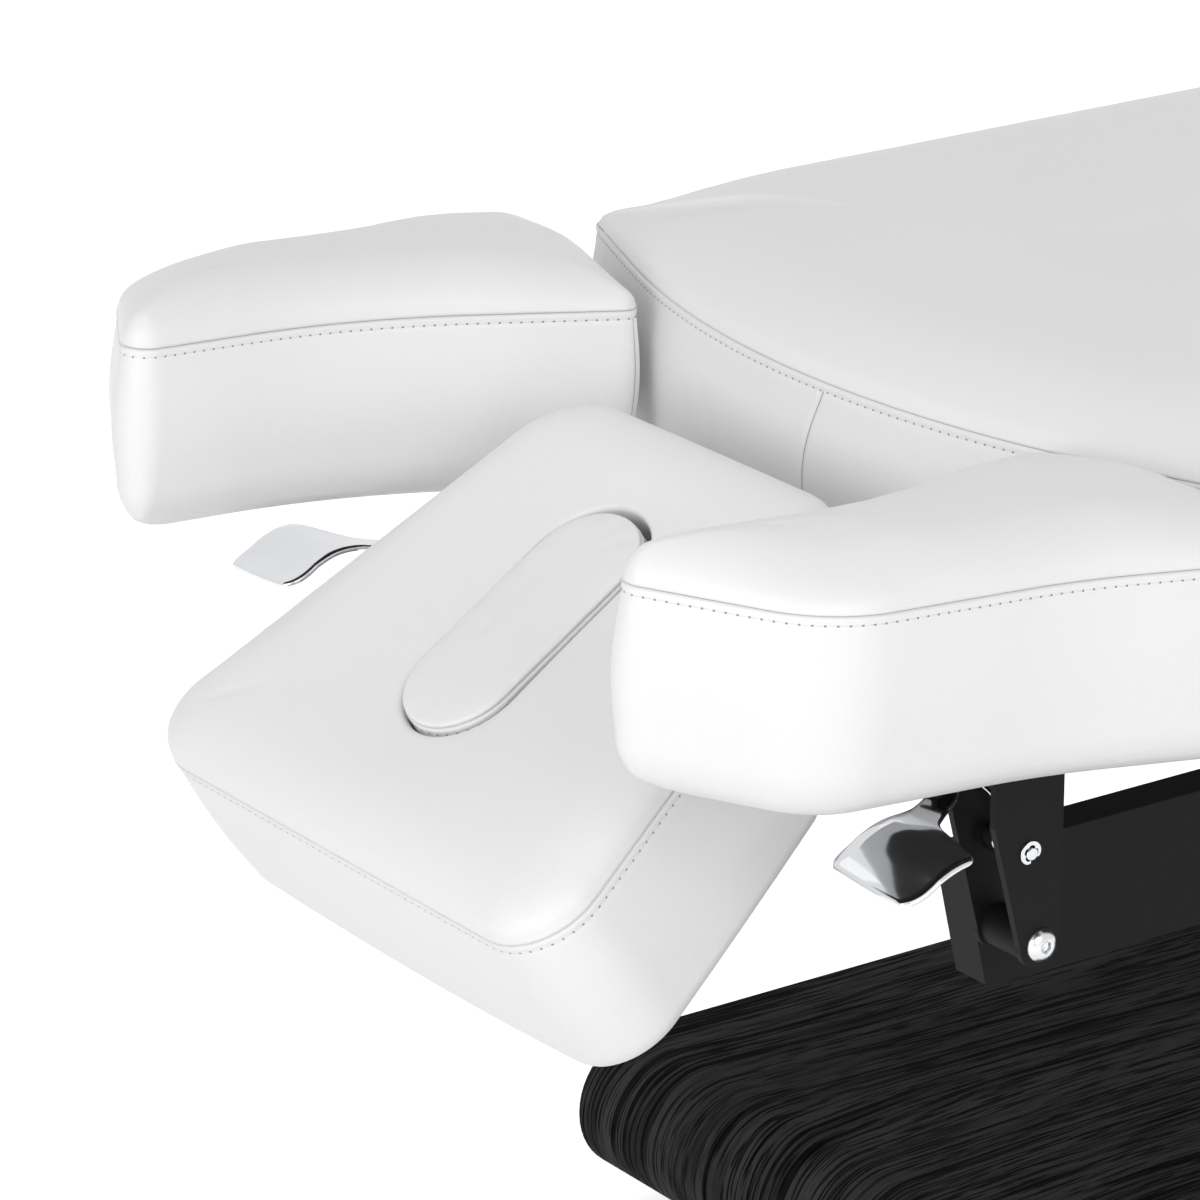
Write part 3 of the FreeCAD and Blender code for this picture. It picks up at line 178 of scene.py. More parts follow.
def sewing_thread(name, low, high):
    """Twisted matt thread."""
    made = Finish(name, Roughness=0.75, Specular_IOR_Level=0.25)
    strand = made.cloud(made.place(), 2400.0, 2.0)
    made.set("Base Color", made.tint(strand, low, high))
    made.bump(strand, 0.0001)
    return made.material


def black_ash(name):
    """Stained open-grain veneer: growth lines, short pores and a darker figure along the boards."""
    made = Finish(name, IOR=1.5, Coat_Roughness=0.3, Specular_IOR_Level=0.015)
    bent = made.cloud(made.place((4.4, 1.5, 1.5)), 1.0, 1.0)
    wander = made.cloud(made.place((16.0, 4.0, 4.0)), 1.0, 1.0)
    sideways, along, up = made.parts(made.node("SeparateXYZ", None, [made.place()]))
    across = sideways + bent * 0.11 + wander * 0.012

    def drawn(pitch, reach, detail, rough=0.5):
        """Streaks about as far apart as the pitch and as long as the reach, in metres."""
        point = made.node("CombineXYZ", None, [across / pitch, along / reach, up / reach])
        return made.cloud(point, 1.0, detail, rough)

    lines = made.ramp(drawn(0.0034, 0.19, 2.0, 0.5), (0.39, 0.0), (0.46, 1.0))
    pores = made.ramp(drawn(0.0019, 0.045, 2.0, 0.55), (0.41, 0.0), (0.48, 1.0))
    figure = made.ramp(drawn(0.017, 0.16, 3.0, 0.6), (0.36, 0.0), (0.48, 0.8), (0.64, 1.0))
    broad = drawn(0.09, 0.6, 2.0)
    face = (0.2 + 0.8 * lines) * (0.2 + 0.8 * pores) * (0.5 + 0.5 * figure) * (0.75 + 0.5 * broad)
    made.set("Base Color", made.tint(face, (0.0009, 0.0009, 0.001), (0.046, 0.046, 0.0463)))
    made.set("Roughness", 0.78 - 0.2 * face)
    made.set("Coat Weight", 0.012 * face)
    made.bump(lines * 0.4 + pores * 0.6, 0.0004, 0.5)
    return made.material


def powder_coat(name, low, high):
    """Satin paint with a very fine pebble."""
    made = Finish(name, IOR=1.5, Specular_IOR_Level=0.12)
    point = made.place()
    pebble = made.cloud(point, 1500.0, 2.0)
    broad = made.cloud(point, 9.0, 3.0)
    made.set("Base Color", made.tint(broad * 0.6 + pebble * 0.4, low, high))
    made.set("Roughness", 0.44 + 0.1 * pebble + 0.06 * broad)
    made.bump(pebble, 0.00004, 0.6)
    return made.material


def bright_metal(name, low, high, rough, smear, relief):
    """Polished or plated metal with faint smears and draw lines."""
    made = Finish(name, Metallic=1.0)
    cloud = made.cloud(made.place(), 26.0, 4.0, 0.6)
    lines = made.cloud(made.place((40.0, 900.0, 900.0)), 1.0, 2.0)
    made.set("Base Color", made.tint(cloud, low, high))
    made.set("Roughness", rough + smear * cloud)
    made.bump(lines * 0.3 + cloud * 0.7, relief, 0.5)
    return made.material


# Plies of 1.5 mm, as an angle per metre
PLY_RATE = 4189.0


def plywood(name, low, high):
    """Dark sealed board with fibres and faint plies."""
    made = Finish(name, IOR=1.45)
    up = made.parts(made.node("SeparateXYZ", None, [made.place()]))[2]
    fibres = made.cloud(made.place((300.0, 8.0, 300.0)), 1.0, 4.0)
    plies = made.node("Math", {"operation": "SINE"}, [up * PLY_RATE])
    made.set("Base Color", made.tint(fibres * 0.6 + plies * 0.2 + 0.2, low, high))
    made.set("Roughness", 0.6 + 0.2 * fibres)
    made.bump(fibres, 0.0002)
    return made.material


def matt_black(name, low, high, scale, depth):
    """Rubber, lining, moulded plastic and the painted shade of needle holes, told apart by the size of their
    grain.
    """
    made = Finish(name, IOR=1.5)
    point = made.place()
    grain = made.cloud(point, scale, 3.0, 0.6)
    dust = made.cloud(point, 14.0, 3.0)
    made.set("Base Color", made.tint(grain * 0.5 + dust * 0.5, low, high))
    made.set("Roughness", 0.55 + 0.25 * grain)
    made.bump(grain, depth, 0.7)
    return made.material


WHITE_HIDE = faux_leather("white_faux_leather", (0.835, 0.836, 0.841), (0.868, 0.869, 0.872))
# Dark grey hide laid into the seam grooves and beside the upright seams as painted shade
SEAM_PAINTED_SHADE = faux_leather("seam_painted_shade", (0.33, 0.33, 0.335), (0.42, 0.42, 0.425))
# Grey dots laid over the needle holes as painted shade
NEEDLE_HOLE_PAINTED_SHADE = matt_black("needle_hole_painted_shade", (0.24, 0.24, 0.245), (0.36, 0.36, 0.365), 900.0, 0.00005)
WHITE_THREAD = sewing_thread("white_thread", (0.78, 0.78, 0.785), (0.86, 0.86, 0.86))
UNDER_LINING = matt_black("black_lining", (0.008, 0.008, 0.0085), (0.015, 0.015, 0.016), 900.0, 0.0002)
CHROME = bright_metal("polished_chrome", (0.66, 0.67, 0.69), (0.74, 0.75, 0.77), 0.035, 0.05, 0.000008)
ZINC = bright_metal("bright_zinc", (0.62, 0.63, 0.64), (0.72, 0.73, 0.74), 0.2, 0.12, 0.00003)
FINISHES = {
    "upholstery": WHITE_HIDE,
    "plywood": plywood("sealed_plywood", (0.012, 0.011, 0.010), (0.03, 0.027, 0.024)),
    "black_ash": black_ash("black_ash"),
    "black_steel": powder_coat("black_powder_coat", (0.0062, 0.0062, 0.0064), (0.0088, 0.0088, 0.009)),
    "zinc_steel": ZINC,
    "chrome": CHROME,
    "black_rubber": matt_black("black_rubber", (0.012, 0.012, 0.012), (0.024, 0.024, 0.025), 600.0, 0.0002),
    "black_plastic": matt_black(
        "black_plastic", (0.014, 0.014, 0.015), (0.022, 0.022, 0.023), 1300.0, 0.0001
    ),
}
for row in frame["record"]["subparts"]:
    shown = frame["nodes"][row["node"]]
    shown.data.materials.clear()
    shown.data.materials.append(FINISHES[row["material_slot"]])


# Mesh helpers


def mesh_piece(name, points, faces, finish, body, stands_for=()):
    """A new piece from points in metres, carried by a body and standing for CAD nodes."""
    mesh = bpy.data.meshes.new(name)
    mesh.from_pydata([tuple(p) for p in points], [], faces)
    mesh.validate()
    mesh.update()
    mesh.shade_smooth()
    mesh.materials.append(finish)
    piece = bpy.data.objects.new(name, mesh)
    bpy.context.scene.collection.objects.link(piece)
    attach(piece, body)
    if stands_for:
        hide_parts(*stands_for)
    return piece


def grid_faces(rows, columns, closed_rows=False):
    """Quads of a grid that is closed round its columns."""
    faces = []
    for row in range(rows if closed_rows else rows - 1):
        low = row * columns
        high = (row + 1) % rows * columns
        for column in range(columns):
            ahead = (column + 1) % columns
            faces.append((low + column, low + ahead, high + ahead, high + column))
    return faces


def offset_corners(corners, inset):
    """Corners of a polygon, given counterclockwise, moved in by the inset."""
    count = len(corners)
    lines = []
    for i in range(count):
        start = np.array(corners[i], float)
        along = np.array(corners[(i + 1) % count], float) - start
        along /= np.linalg.norm(along)
        inward = np.array((-along[1], along[0]))
        lines.append((start + inward * inset, along))
    moved = []
    for i in range(count):
        (p, u), (q, v) = lines[i - 1], lines[i]
        t = np.linalg.solve(np.column_stack((u, -v)), q - p)[0]
        moved.append(p + u * t)
    return moved


LEAST_RADIUS = 5.0
LEAST_ARC_STEPS, LEAST_SIDE_STEPS = 6, 2


class Outline:
    """A rounded polygon, sampled the same way at any inset, so that its rings match point for point."""

    def __init__(self, corners, radii, pitch):
        self.corners = corners
        self.radii = radii
        self.steps = []
        count = len(corners)
        self.bends = [self.bend(corners, i) for i in range(count)]
        for i in range(count):
            turn, reach = self.corner(corners, radii, i)
            ahead_reach = self.corner(corners, radii, (i + 1) % count)[1]
            run = np.linalg.norm(np.subtract(corners[(i + 1) % count], corners[i])) - reach - ahead_reach
            arc = max(LEAST_ARC_STEPS, round(radii[i] * turn / pitch))
            self.steps.append((arc, max(LEAST_SIDE_STEPS, round(run / pitch))))
        base = self.ring(0.0)
        lengths = np.linalg.norm(np.roll(base, -1, axis=0) - base, axis=1)
        around = np.concatenate(([0.0], np.cumsum(lengths)))
        self.length = around[-1]
        self.share = around[:-1] / self.length
        self.centre = base.mean(axis=0)
        self.count = len(base)

    @staticmethod
    def bend(corners, i):
        """1 at an outward corner and -1 at a hollow one."""
        here = np.array(corners[i], float)
        back = here - np.array(corners[i - 1], float)
        ahead = np.array(corners[(i + 1) % len(corners)], float) - here
        return 1.0 if back[0] * ahead[1] - back[1] * ahead[0] > 0 else -1.0

    @staticmethod
    def corner(corners, radii, i):
        """The angle turned at a corner and the reach of its arc along the sides."""
        here = np.array(corners[i], float)
        back = np.array(corners[i - 1], float) - here
        ahead = np.array(corners[(i + 1) % len(corners)], float) - here
        cosine = back @ ahead / np.linalg.norm(back) / np.linalg.norm(ahead)
        turn = math.pi - math.acos(max(-1.0, min(1.0, cosine)))
        return turn, radii[i] * math.tan(turn / 2)

    def ring(self, inset):
        """The outline's points, moved in by the inset."""
        corners = offset_corners(self.corners, inset)
        radii = [max(r - inset * bend, LEAST_RADIUS) for r, bend in zip(self.radii, self.bends)]
        points = []
        count = len(corners)
        for i in range(count):
            turn, reach = self.corner(corners, radii, i)
            here = corners[i]
            back = corners[i - 1] - here
            back /= np.linalg.norm(back)
            following = (i + 1) % count
            there = corners[following]
            ahead = there - here
            ahead /= np.linalg.norm(ahead)
            inward = np.array((-ahead[1], ahead[0]))
            hub = here + ahead * reach + inward * radii[i] * self.bends[i]
            first = here + back * reach - hub
            start = math.atan2(first[1], first[0])
            arc, run = self.steps[i]
            for k in range(arc):
                angle = start + self.bends[i] * turn * k / arc
                points.append(hub + radii[i] * np.array((math.cos(angle), math.sin(angle))))
            leave = here + ahead * reach
            arrive = there - ahead * self.corner(corners, radii, following)[1]
            for k in range(run):
                points.append(leave + (arrive - leave) * k / run)
        return np.array(points)

    def share_near(self, x, y):
        """Where round the outline a point lies, as a share of the way round."""
        base = self.ring(0.0)
        return self.share[np.argmin(np.linalg.norm(base - np.array((x, y)), axis=1))]


# Cushions: stations of their profile, as (inset, height) in millimetres, and which of them the seams use
UNDER_INSETS = (34.0, 12.0)
EDGE_STEPS = 8
WALL_STEPS, WALL_TOP = 11, -11.0
STITCHED_EDGE = [(0.1, -8.5), (0.6, -6.4), (0.9, -5.2), (0.5, -4.0), (0.3, -2.4)]
SEAM_FOLD = [(0.5, -0.6), (1.9, -0.22), (1.9, 0.22), (0.7, 0.6), (1.1, 2.4)]
CROWN_STEPS, CROWN_CROWDING = 18, 1.45
LINING_ROWS = 4
STITCH_STATION = 24
SEAM_STATION = 29
FIRST_TOP_STATION = 31
TOP_RINGS, TOP_SHARE = 12, 0.9


def sewn_profile(low, seam, crown, run, belly, edge, fall=2.1):
    """Stations of a boxed pad from under its edge to the end of its crown."""
    stations = [(edge + inset, low) for inset in UNDER_INSETS]
    for k in range(EDGE_STEPS + 1):
        angle = math.pi / 2 * k / EDGE_STEPS
        stations.append((edge * (1 - math.sin(angle)), low + edge * (1 - math.cos(angle))))
    wall_low = low + edge
    wall_high = seam + WALL_TOP
    for k in range(1, WALL_STEPS + 1):
        share = k / WALL_STEPS
        stations.append((-belly * math.sin(math.pi * share), wall_low + (wall_high - wall_low) * share))
    stations += [(inset, seam + height) for inset, height in STITCHED_EDGE + SEAM_FOLD]
    start, foot = SEAM_FOLD[-1]
    for k in range(1, CROWN_STEPS + 1):
        share = (k / CROWN_STEPS) ** CROWN_CROWDING
        height = (1 - (1 - share) ** fall) ** (1 / fall)
        stations.append((start + (run - start) * share, seam + foot + (crown - foot) * height))
    return stations


def level_ended(share):
    """Runs from 0 to 1 with level ends."""
    return share ** 2 * (3 - 2 * share)


def widened(ring, spread):
    """A flat ring with its points moved away from its middle."""
    away = ring - ring.mean(axis=0)
    away /= np.linalg.norm(away, axis=1)[:, None]
    return ring + away * spread


class Pad:
    """A sewn cushion as rings of points round an outline, in millimetres in its own frame."""

    def __init__(self, corners, radii, profile, place, lift, pitch, ridge=None):
        self.outline = Outline(corners, radii, pitch)
        self.place = place
        self.profile = profile
        self.lift = lift
        self.ridge = ridge
        self.slot_ring = None
        self.slot_walls = ()
        self.thinning = None
        self.sag = None
        self.eased = ()

    def level_ring(self, flat, height):
        return np.column_stack((flat, np.full(self.outline.count, height)))

    def rings(self):
        """All rings from the underside to the middle of the top or through the slot, in metres."""
        made = [self.level_ring(self.outline.ring(inset), height) for inset, height in self.profile]
        last = made[-1]
        core = self.ridge_points(last) if self.slot_ring is None else self.slot_ring
        end_share = TOP_SHARE if self.slot_ring is None else 1.0
        for k in range(1, TOP_RINGS + 1):
            share = end_share * k / TOP_RINGS
            flat = last[:, :2] + (core - last[:, :2]) * share
            made.append(np.column_stack((flat, last[:, 2] + self.lift * level_ended(share))))
        for spread, height in self.slot_walls:
            made.append(self.level_ring(widened(core, spread), height))
        made = np.array(made)
        x, y, z = made[:, :, 0], made[:, :, 1], made[:, :, 2]
        if self.thinning:
            start, end, keep = self.thinning
            along = np.clip((y - start) / (end - start), 0.0, 1.0)
            z[:] = np.where(z < 0, z * (1 - (1 - keep) * along), z)
        if self.sag:
            half, share, hollow = self.sag
            bow = 1 + share * (1.0 - hollow * (x / half) ** 2) * np.clip(1 - y / half, 0, 1)
            z[:] = np.where(z < 0, z * bow, z)
        for middle_x, middle_y, reach, share in self.eased:
            near = np.clip(1 - np.hypot(x - middle_x, y - middle_y) / reach, 0.0, 1.0)
            over_seam = np.maximum(z - z[SEAM_STATION], 0.0)
            z -= over_seam * share * level_ended(near)
        return made * MM

    def ridge_points(self, ring):
        """The nearest points of the top's middle line, where its rings close up."""
        start, end = np.array(self.ridge or (self.outline.centre, self.outline.centre + (0.0, 1.0)))
        along = end - start
        share = np.clip((ring[:, :2] - start) @ along / (along @ along), 0.0, 1.0)
        return start + share[:, None] * along

    def faces(self, rows, columns):
        """Quads of the rings, closed below and on top unless a slot runs through the cushion."""
        if self.slot_ring is not None:
            return grid_faces(rows, columns, closed_rows=True)
        faces = grid_faces(rows, columns)
        faces.append(tuple(range((rows - 1) * columns, rows * columns)))
        faces.append(tuple(reversed(range(columns))))
        return faces


# Gathers beside the seams, with lengths in millimetres
RIPPLE_COUNT, RIPPLE_SHORT, RIPPLE_LONG = 9, 16.0, 60.0
RIPPLE_LEAST, RIPPLE_SCALE = 0.4, 3.0
PATCH_COUNT, PATCH_SHORT, PATCH_LONG = 3, 180.0, 420.0
PATCH_LEAST, PATCH_SCALE = 0.08, 2.0
GATHER_REACH = 70.0
# Stations past the seam where the gathers start, and over which they grow
GATHER_START, GATHER_GROWTH = 2, 3


def pucker(pad, rings, seed, depth):
    """Shallow gathers that start at the seam and fade over the top panel."""
    draw = random.Random(seed)
    total = pad.outline.length
    way = pad.outline.share * total
    waves = []
    for _ in range(RIPPLE_COUNT):
        turns = round(total / draw.uniform(RIPPLE_SHORT, RIPPLE_LONG))
        waves.append((turns, draw.uniform(0, 2 * math.pi), draw.uniform(RIPPLE_LEAST, 1.0)))
    ripple = sum(size * np.sin(2 * math.pi * turns * way / total + phase) for turns, phase, size in waves)
    patches = []
    for _ in range(PATCH_COUNT):
        turns = round(total / draw.uniform(PATCH_SHORT, PATCH_LONG))
        patches.append((turns, draw.uniform(0, 2 * math.pi)))
    patch = sum(np.sin(2 * math.pi * turns * way / total + phase) for turns, phase in patches)
    strength = ripple * np.clip(patch / PATCH_SCALE, PATCH_LEAST, 1.0) / RIPPLE_SCALE
    moved = rings.copy()
    seam_inset = pad.profile[SEAM_STATION][0]
    start = SEAM_STATION + GATHER_START
    for k in range(start + 1, len(pad.profile)):
        run = (pad.profile[k][0] - seam_inset) / GATHER_REACH
        fade = max(0.0, 1 - run) * min(1.0, (k - start) / GATHER_GROWTH)
        moved[k, :, 2] += strength * depth * fade * MM
    return moved


# The cloth run that swells the covers
COVER_BOXING_ROWS = [0, 2, 6, 10, 13, 16, 19, 22]
LAST_HELD_UNDER = 6
COVER_COLUMN_STEP = 2
CLOTH_FRAMES = 20
CLOTH_FEEL = {
    "vertex_group_mass": "held",
    "quality": 6,
    "mass": 0.35,
    "tension_stiffness": 12.0,
    "compression_stiffness": 5.0,
    "shear_stiffness": 8.0,
    "bending_stiffness": 3.0,
    "shrink_min": 0.003,
    "use_pressure": True,
    "uniform_pressure_force": 4.0,
}


def cover_rows(pad, rows):
    """The rings that the cloth run uses, fewer than the cushion's own."""
    top = len(pad.profile)
    chosen = COVER_BOXING_ROWS + [SEAM_STATION - 2, SEAM_STATION, FIRST_TOP_STATION + 1]
    chosen += range(FIRST_TOP_STATION + 4, top, 3)
    chosen += range(top + 1, top + TOP_RINGS, 2)
    if pad.slot_ring is not None:
        chosen += range(top + TOP_RINGS, rows)
    return sorted(set(chosen))


def run_cloth(pad, coarse, chosen):
    """Runs a coarse cover as cloth under pressure and returns its points afterwards."""
    rows, columns, _ = coarse.shape
    mesh = bpy.data.meshes.new("cover")
    mesh.from_pydata([tuple(p) for p in coarse.reshape(-1, 3)], [], pad.faces(rows, columns))
    mesh.update()
    cover = bpy.data.objects.new("cover", mesh)
    bpy.context.scene.collection.objects.link(cover)
    held = cover.vertex_groups.new(name="held")
    for index, k in enumerate(chosen):
        at_seam = SEAM_STATION - 2 <= k <= SEAM_STATION
        if k <= LAST_HELD_UNDER or at_seam or k >= len(pad.profile) + TOP_RINGS - 1:
            held.add(list(range(index * columns, (index + 1) * columns)), 1.0, "REPLACE")
    settings = cover.modifiers.new("cover", "CLOTH").settings
    for name, value in CLOTH_FEEL.items():
        setattr(settings, name, value)
    settings.effector_weights.gravity = 0.0
    for step in range(1, CLOTH_FRAMES + 1):
        bpy.context.scene.frame_set(step)
    evaluated = cover.evaluated_get(bpy.context.evaluated_depsgraph_get())
    after = np.array([v.co for v in evaluated.data.vertices]).reshape(coarse.shape)
    bpy.context.scene.frame_set(1)
    bpy.data.objects.remove(cover)
    return after


def swell(pad, rings, most, keep):
    """Swells the cover by the cloth run, held at its seam and underside, and returns the moved rings."""
    rows, columns, _ = rings.shape
    chosen = cover_rows(pad, rows)
    chosen_columns = np.arange(0, columns, COVER_COLUMN_STEP)
    coarse = rings[np.ix_(chosen, chosen_columns)]
    shift = run_cloth(pad, coarse, chosen) - coarse
    size = np.linalg.norm(shift, axis=2, keepdims=True)
    limit = most * MM
    shift *= limit * np.tanh(size / limit) / np.maximum(size, 1e-9)
    shift *= keep
    wide = np.zeros((len(chosen), columns, 3))
    share = pad.outline.share
    known = np.concatenate((share[chosen_columns], [1.0]))
    for r in range(len(chosen)):
        for axis in range(3):
            wide[r, :, axis] = np.interp(share, known, np.append(shift[r, :, axis], shift[r, 0, axis]))
    moved = rings.copy()
    every = np.arange(rows)
    for c in range(columns):
        for axis in range(3):
            moved[:, c, axis] += np.interp(every, chosen, wide[:, c, axis])
    return moved


# Upright seams in the side walls, in millimetres
UPRIGHT_FOLD = [-9.0, -5.0, -2.6, -1.3, -0.45, 0.45, 1.3, 2.6, 5.0, 9.0]
UPRIGHT_ROWS = range(6, SEAM_STATION - 5)
FOLD_DEPTH, FOLD_WIDTH = 1.3, 1.5
LIP_RISE, LIP_PLACE, LIP_WIDTH = 0.5, 3.2, 1.8
# Where beside an upright seam the painted shade lies
SHADED_FROM, SHADED_TO = -0.6, 0.3
LEAST_COLUMN_GAP = 0.3
LEAN_FALL, LEAN_SPREAD = 60.0, 60.0
UNDER_ROW, WALL_ROW = 0, 12


def bell(way, width):
    return np.exp(-((way / width) ** 2))


def way_from(shares, share, length):
    """How far each column lies from a seam, along the outline."""
    return ((shares - share + 0.5) % 1.0 - 0.5) * length


def sew_boxing(pad, rings, seams):
    """Adds columns for upright seams, leans them, draws the side wall in along them, and marks the columns
    beside each seam that get painted shade.
    """
    share, length = pad.outline.share, pad.outline.length
    extra = [(seam + off / length) % 1.0 for seam, _ in seams for off in UPRIGHT_FOLD]
    kept = [c for c in share if all(abs(way_from(c, e, length)) > LEAST_COLUMN_GAP for e in extra)]
    columns = np.array(sorted(kept + extra))
    rows = rings.shape[0]
    wide = np.zeros((rows, len(columns), 3))
    known = np.concatenate((share - 1.0, share, share + 1.0))
    top = rings[STITCH_STATION, 0, 2]
    for k in range(rows):
        at = columns.copy()
        fall = np.clip((top - rings[k, 0, 2]) / (LEAN_FALL * MM), 0.0, 1.0) if k < SEAM_STATION else 0.0
        for seam, lean in seams:
            gap = way_from(columns, seam, length)
            at += lean * math.sin(math.pi / 2 * fall) * bell(gap, LEAN_SPREAD) / length
        for axis in range(3):
            wide[k, :, axis] = np.interp(at, known, np.tile(rings[k, :, axis], 3))
    outward = wide[WALL_ROW, :, :2] - wide[UNDER_ROW, :, :2]
    outward /= np.linalg.norm(outward, axis=1)[:, None]
    painted_shade_columns = np.zeros(len(columns), bool)
    for seam, _ in seams:
        gap = way_from(columns, seam, length)
        pull = (bell(gap, FOLD_WIDTH) * FOLD_DEPTH - LIP_RISE * bell(abs(gap) - LIP_PLACE, LIP_WIDTH)) * MM
        for k in UPRIGHT_ROWS:
            wide[k, :, :2] -= outward * pull[:, None]
        # The columns just beside each seam are painted dark as painted shade
        painted_shade_columns |= (gap > SHADED_FROM) & (gap < SHADED_TO)
    return wide, painted_shade_columns


# Stitches and the painted-shade dots of the needle holes, in millimetres
STITCH_PITCH, STITCH_LONG, STITCH_THICK, STITCH_SINK = 6.9, 5.2, 0.34, 0.06
STITCH_SIDES, STITCH_TURN = 5, 0.3
STITCH_BANDS = [(0.12, 0.8), (0.5, 1.0), (0.88, 0.8)]
HOLE_SIDES, HOLE_SIZE, HOLE_STRETCH, HOLE_RISE = 7, 0.7, 1.25, 0.22


def stitch_points(start, end, out, side):
    """Points of one stitch: its first tip, three bands round the thread, and its last tip."""
    thick = STITCH_THICK * MM
    points = [start - out * thick]
    for share, swelling in STITCH_BANDS:
        centre = start + (end - start) * share + out * STITCH_SINK * MM
        for turn in range(STITCH_SIDES):
            angle = 2 * math.pi * turn / STITCH_SIDES + STITCH_TURN
            spoke = side * math.cos(angle) + out * math.sin(angle)
            points.append(centre + spoke * thick * swelling)
    return points + [end - out * thick]


def stitch_faces(first):
    """Faces of one stitch whose points start at the given number."""
    faces = []
    low = first + 1
    high = low + (len(STITCH_BANDS) - 1) * STITCH_SIDES
    last = high + STITCH_SIDES
    for turn in range(STITCH_SIDES):
        ahead = (turn + 1) % STITCH_SIDES
        faces.append((first, low + ahead, low + turn))
        for band in range(low, high, STITCH_SIDES):
            over = band + STITCH_SIDES
            faces.append((band + turn, band + ahead, over + ahead, over + turn))
        faces.append((high + turn, high + ahead, last))
    return faces


def stitch_run(name, line, outward, pad_place, body):
    """Small tapered stitches along a closed line of points, with flat dark dots of painted shade for the
    needle holes between them.
    """
    lengths = np.linalg.norm(np.roll(line, -1, axis=0) - line, axis=1)
    around = np.concatenate(([0.0], np.cumsum(lengths)))
    total = around[-1]
    count = int(total / (STITCH_PITCH * MM))
    closed_line = np.vstack((line, line[:1]))
    closed_out = np.vstack((outward, outward[:1]))

    def at(way, rows):
        return np.array([np.interp(way % total, around, rows[:, axis]) for axis in range(3)])

    points = []
    faces = []
    holes = []
    for k in range(count):
        middle = total * (k + 0.5) / count
        start, end = [at(middle + off * STITCH_LONG * MM / 2, closed_line) for off in (-1, 1)]
        out = at(middle, closed_out)
        out /= np.linalg.norm(out)
        along = end - start
        along /= np.linalg.norm(along)
        side = np.cross(out, along)
        faces += stitch_faces(len(points))
        points += stitch_points(start, end, out, side)
        spot = at(middle + total / count / 2, closed_line) + out * HOLE_RISE * MM
        holes.append(len(faces))
        faces.append(tuple(len(points) + turn for turn in range(HOLE_SIDES)))
        for turn in range(HOLE_SIDES):
            angle = 2 * math.pi * turn / HOLE_SIDES
            spoke = along * math.cos(angle) * HOLE_STRETCH + side * math.sin(angle)
            points.append(spot + spoke * HOLE_SIZE * MM)
    placed = [pad_place @ Vector(p) for p in points]
    piece = mesh_piece(name, placed, faces, WHITE_THREAD, body)
    # The needle-hole dots get the painted-shade finish
    piece.data.materials.append(NEEDLE_HOLE_PAINTED_SHADE)
    for index in holes:
        piece.data.polygons[index].material_index = 1


def make_pad(pad, body, node, fill, seed, most, keep, gather, upright_seams=()):
    """Builds one cushion: gathers, swelling, boxing seams, closed mesh and its stitches."""
    rings = pucker(pad, pad.rings(), seed, gather)
    rings = swell(pad, rings, most, keep)
    seams = [(pad.outline.share_near(x, y), lean) for x, y, lean in upright_seams]
    rings, painted_shade_columns = sew_boxing(pad, rings, seams)
    rows, columns, _ = rings.shape
    points = [pad.place @ Vector(p) for p in rings.reshape(-1, 3)]
    faces = pad.faces(rows, columns)
    piece = mesh_piece(node + "_cover", points, faces, WHITE_HIDE, body, [node])
    piece.data.materials.append(SEAM_PAINTED_SHADE)
    piece.data.materials.append(UNDER_LINING)
    # Faces of the seam groove and beside the upright seams get the painted-shade hide; the lowest rows get
    # the black lining
    for polygon in piece.data.polygons:
        row, column = divmod(polygon.vertices[0], columns)
        seam_groove_shaded = SEAM_STATION - 1 <= row < SEAM_STATION + 1
        if seam_groove_shaded or row in UPRIGHT_ROWS and painted_shade_columns[column]:
            polygon.material_index = 1
        elif row < LINING_ROWS:
            polygon.material_index = 2
    line = rings[STITCH_STATION]
    across = np.roll(line, -1, axis=0) - np.roll(line, 1, axis=0)
    outward = np.column_stack((across[:, 1], -across[:, 0], np.zeros(columns)))
    outward /= np.linalg.norm(outward, axis=1)[:, None]
    stitch_run(node + "_stitches", line, outward, pad.place, body)


def box_corners(half, head, foot):
    return [(-half, head), (half, head), (half, foot), (-half, foot)]


# The bed's three pads
HALF_WIDE = 349.0
PAD_BOTTOM = 534.0
SEAM_LEVEL = 662.0
CORNER = 18.0
END_RADIUS = 690.0
END_BOW = 139.0
END_SLOPE = math.atan2(END_BOW, HALF_WIDE)
APEX_Y = -610.0
TIP_Y = APEX_Y - END_RADIUS * (1 / math.cos(END_SLOPE) - 1)
SHOULDER_Y = TIP_Y + END_BOW
BACK_FOOT, SEAT_HEAD, SEAT_FOOT, LEG_HEAD, LEG_FOOT = 96.5, 123.5, 529.0, 541.0, 951.5
LEVEL = Matrix.Identity(4)
BED_PITCH = 7.0
BED_PROFILE = sewn_profile(PAD_BOTTOM, SEAM_LEVEL, crown=28.0, run=88.0, belly=5.0, edge=22.0)
BED_FEEL = {"fill": 0.85, "most": 8.0, "keep": 0.7, "gather": 0.35}
BACK_CORNERS = [(0.0, TIP_Y), (HALF_WIDE, SHOULDER_Y), (HALF_WIDE, BACK_FOOT), (-HALF_WIDE, BACK_FOOT)]
BACK_CORNERS += [(-HALF_WIDE, SHOULDER_Y)]
BACK_RADII = [END_RADIUS] + [CORNER] * 4
BACK_RIDGE = [(0, -360.0), (0, -150.0)]
BACK_SEAMS = [(13.0, APEX_Y, -14.0), (0.0, BACK_FOOT, 0.0)]
back = Pad(BACK_CORNERS, BACK_RADII, BED_PROFILE, LEVEL, lift=8.0, pitch=BED_PITCH, ridge=BACK_RIDGE)
back.eased = [(sign * HALF_WIDE, SHOULDER_Y, 130.0, 0.4) for sign in (-1, 1)]
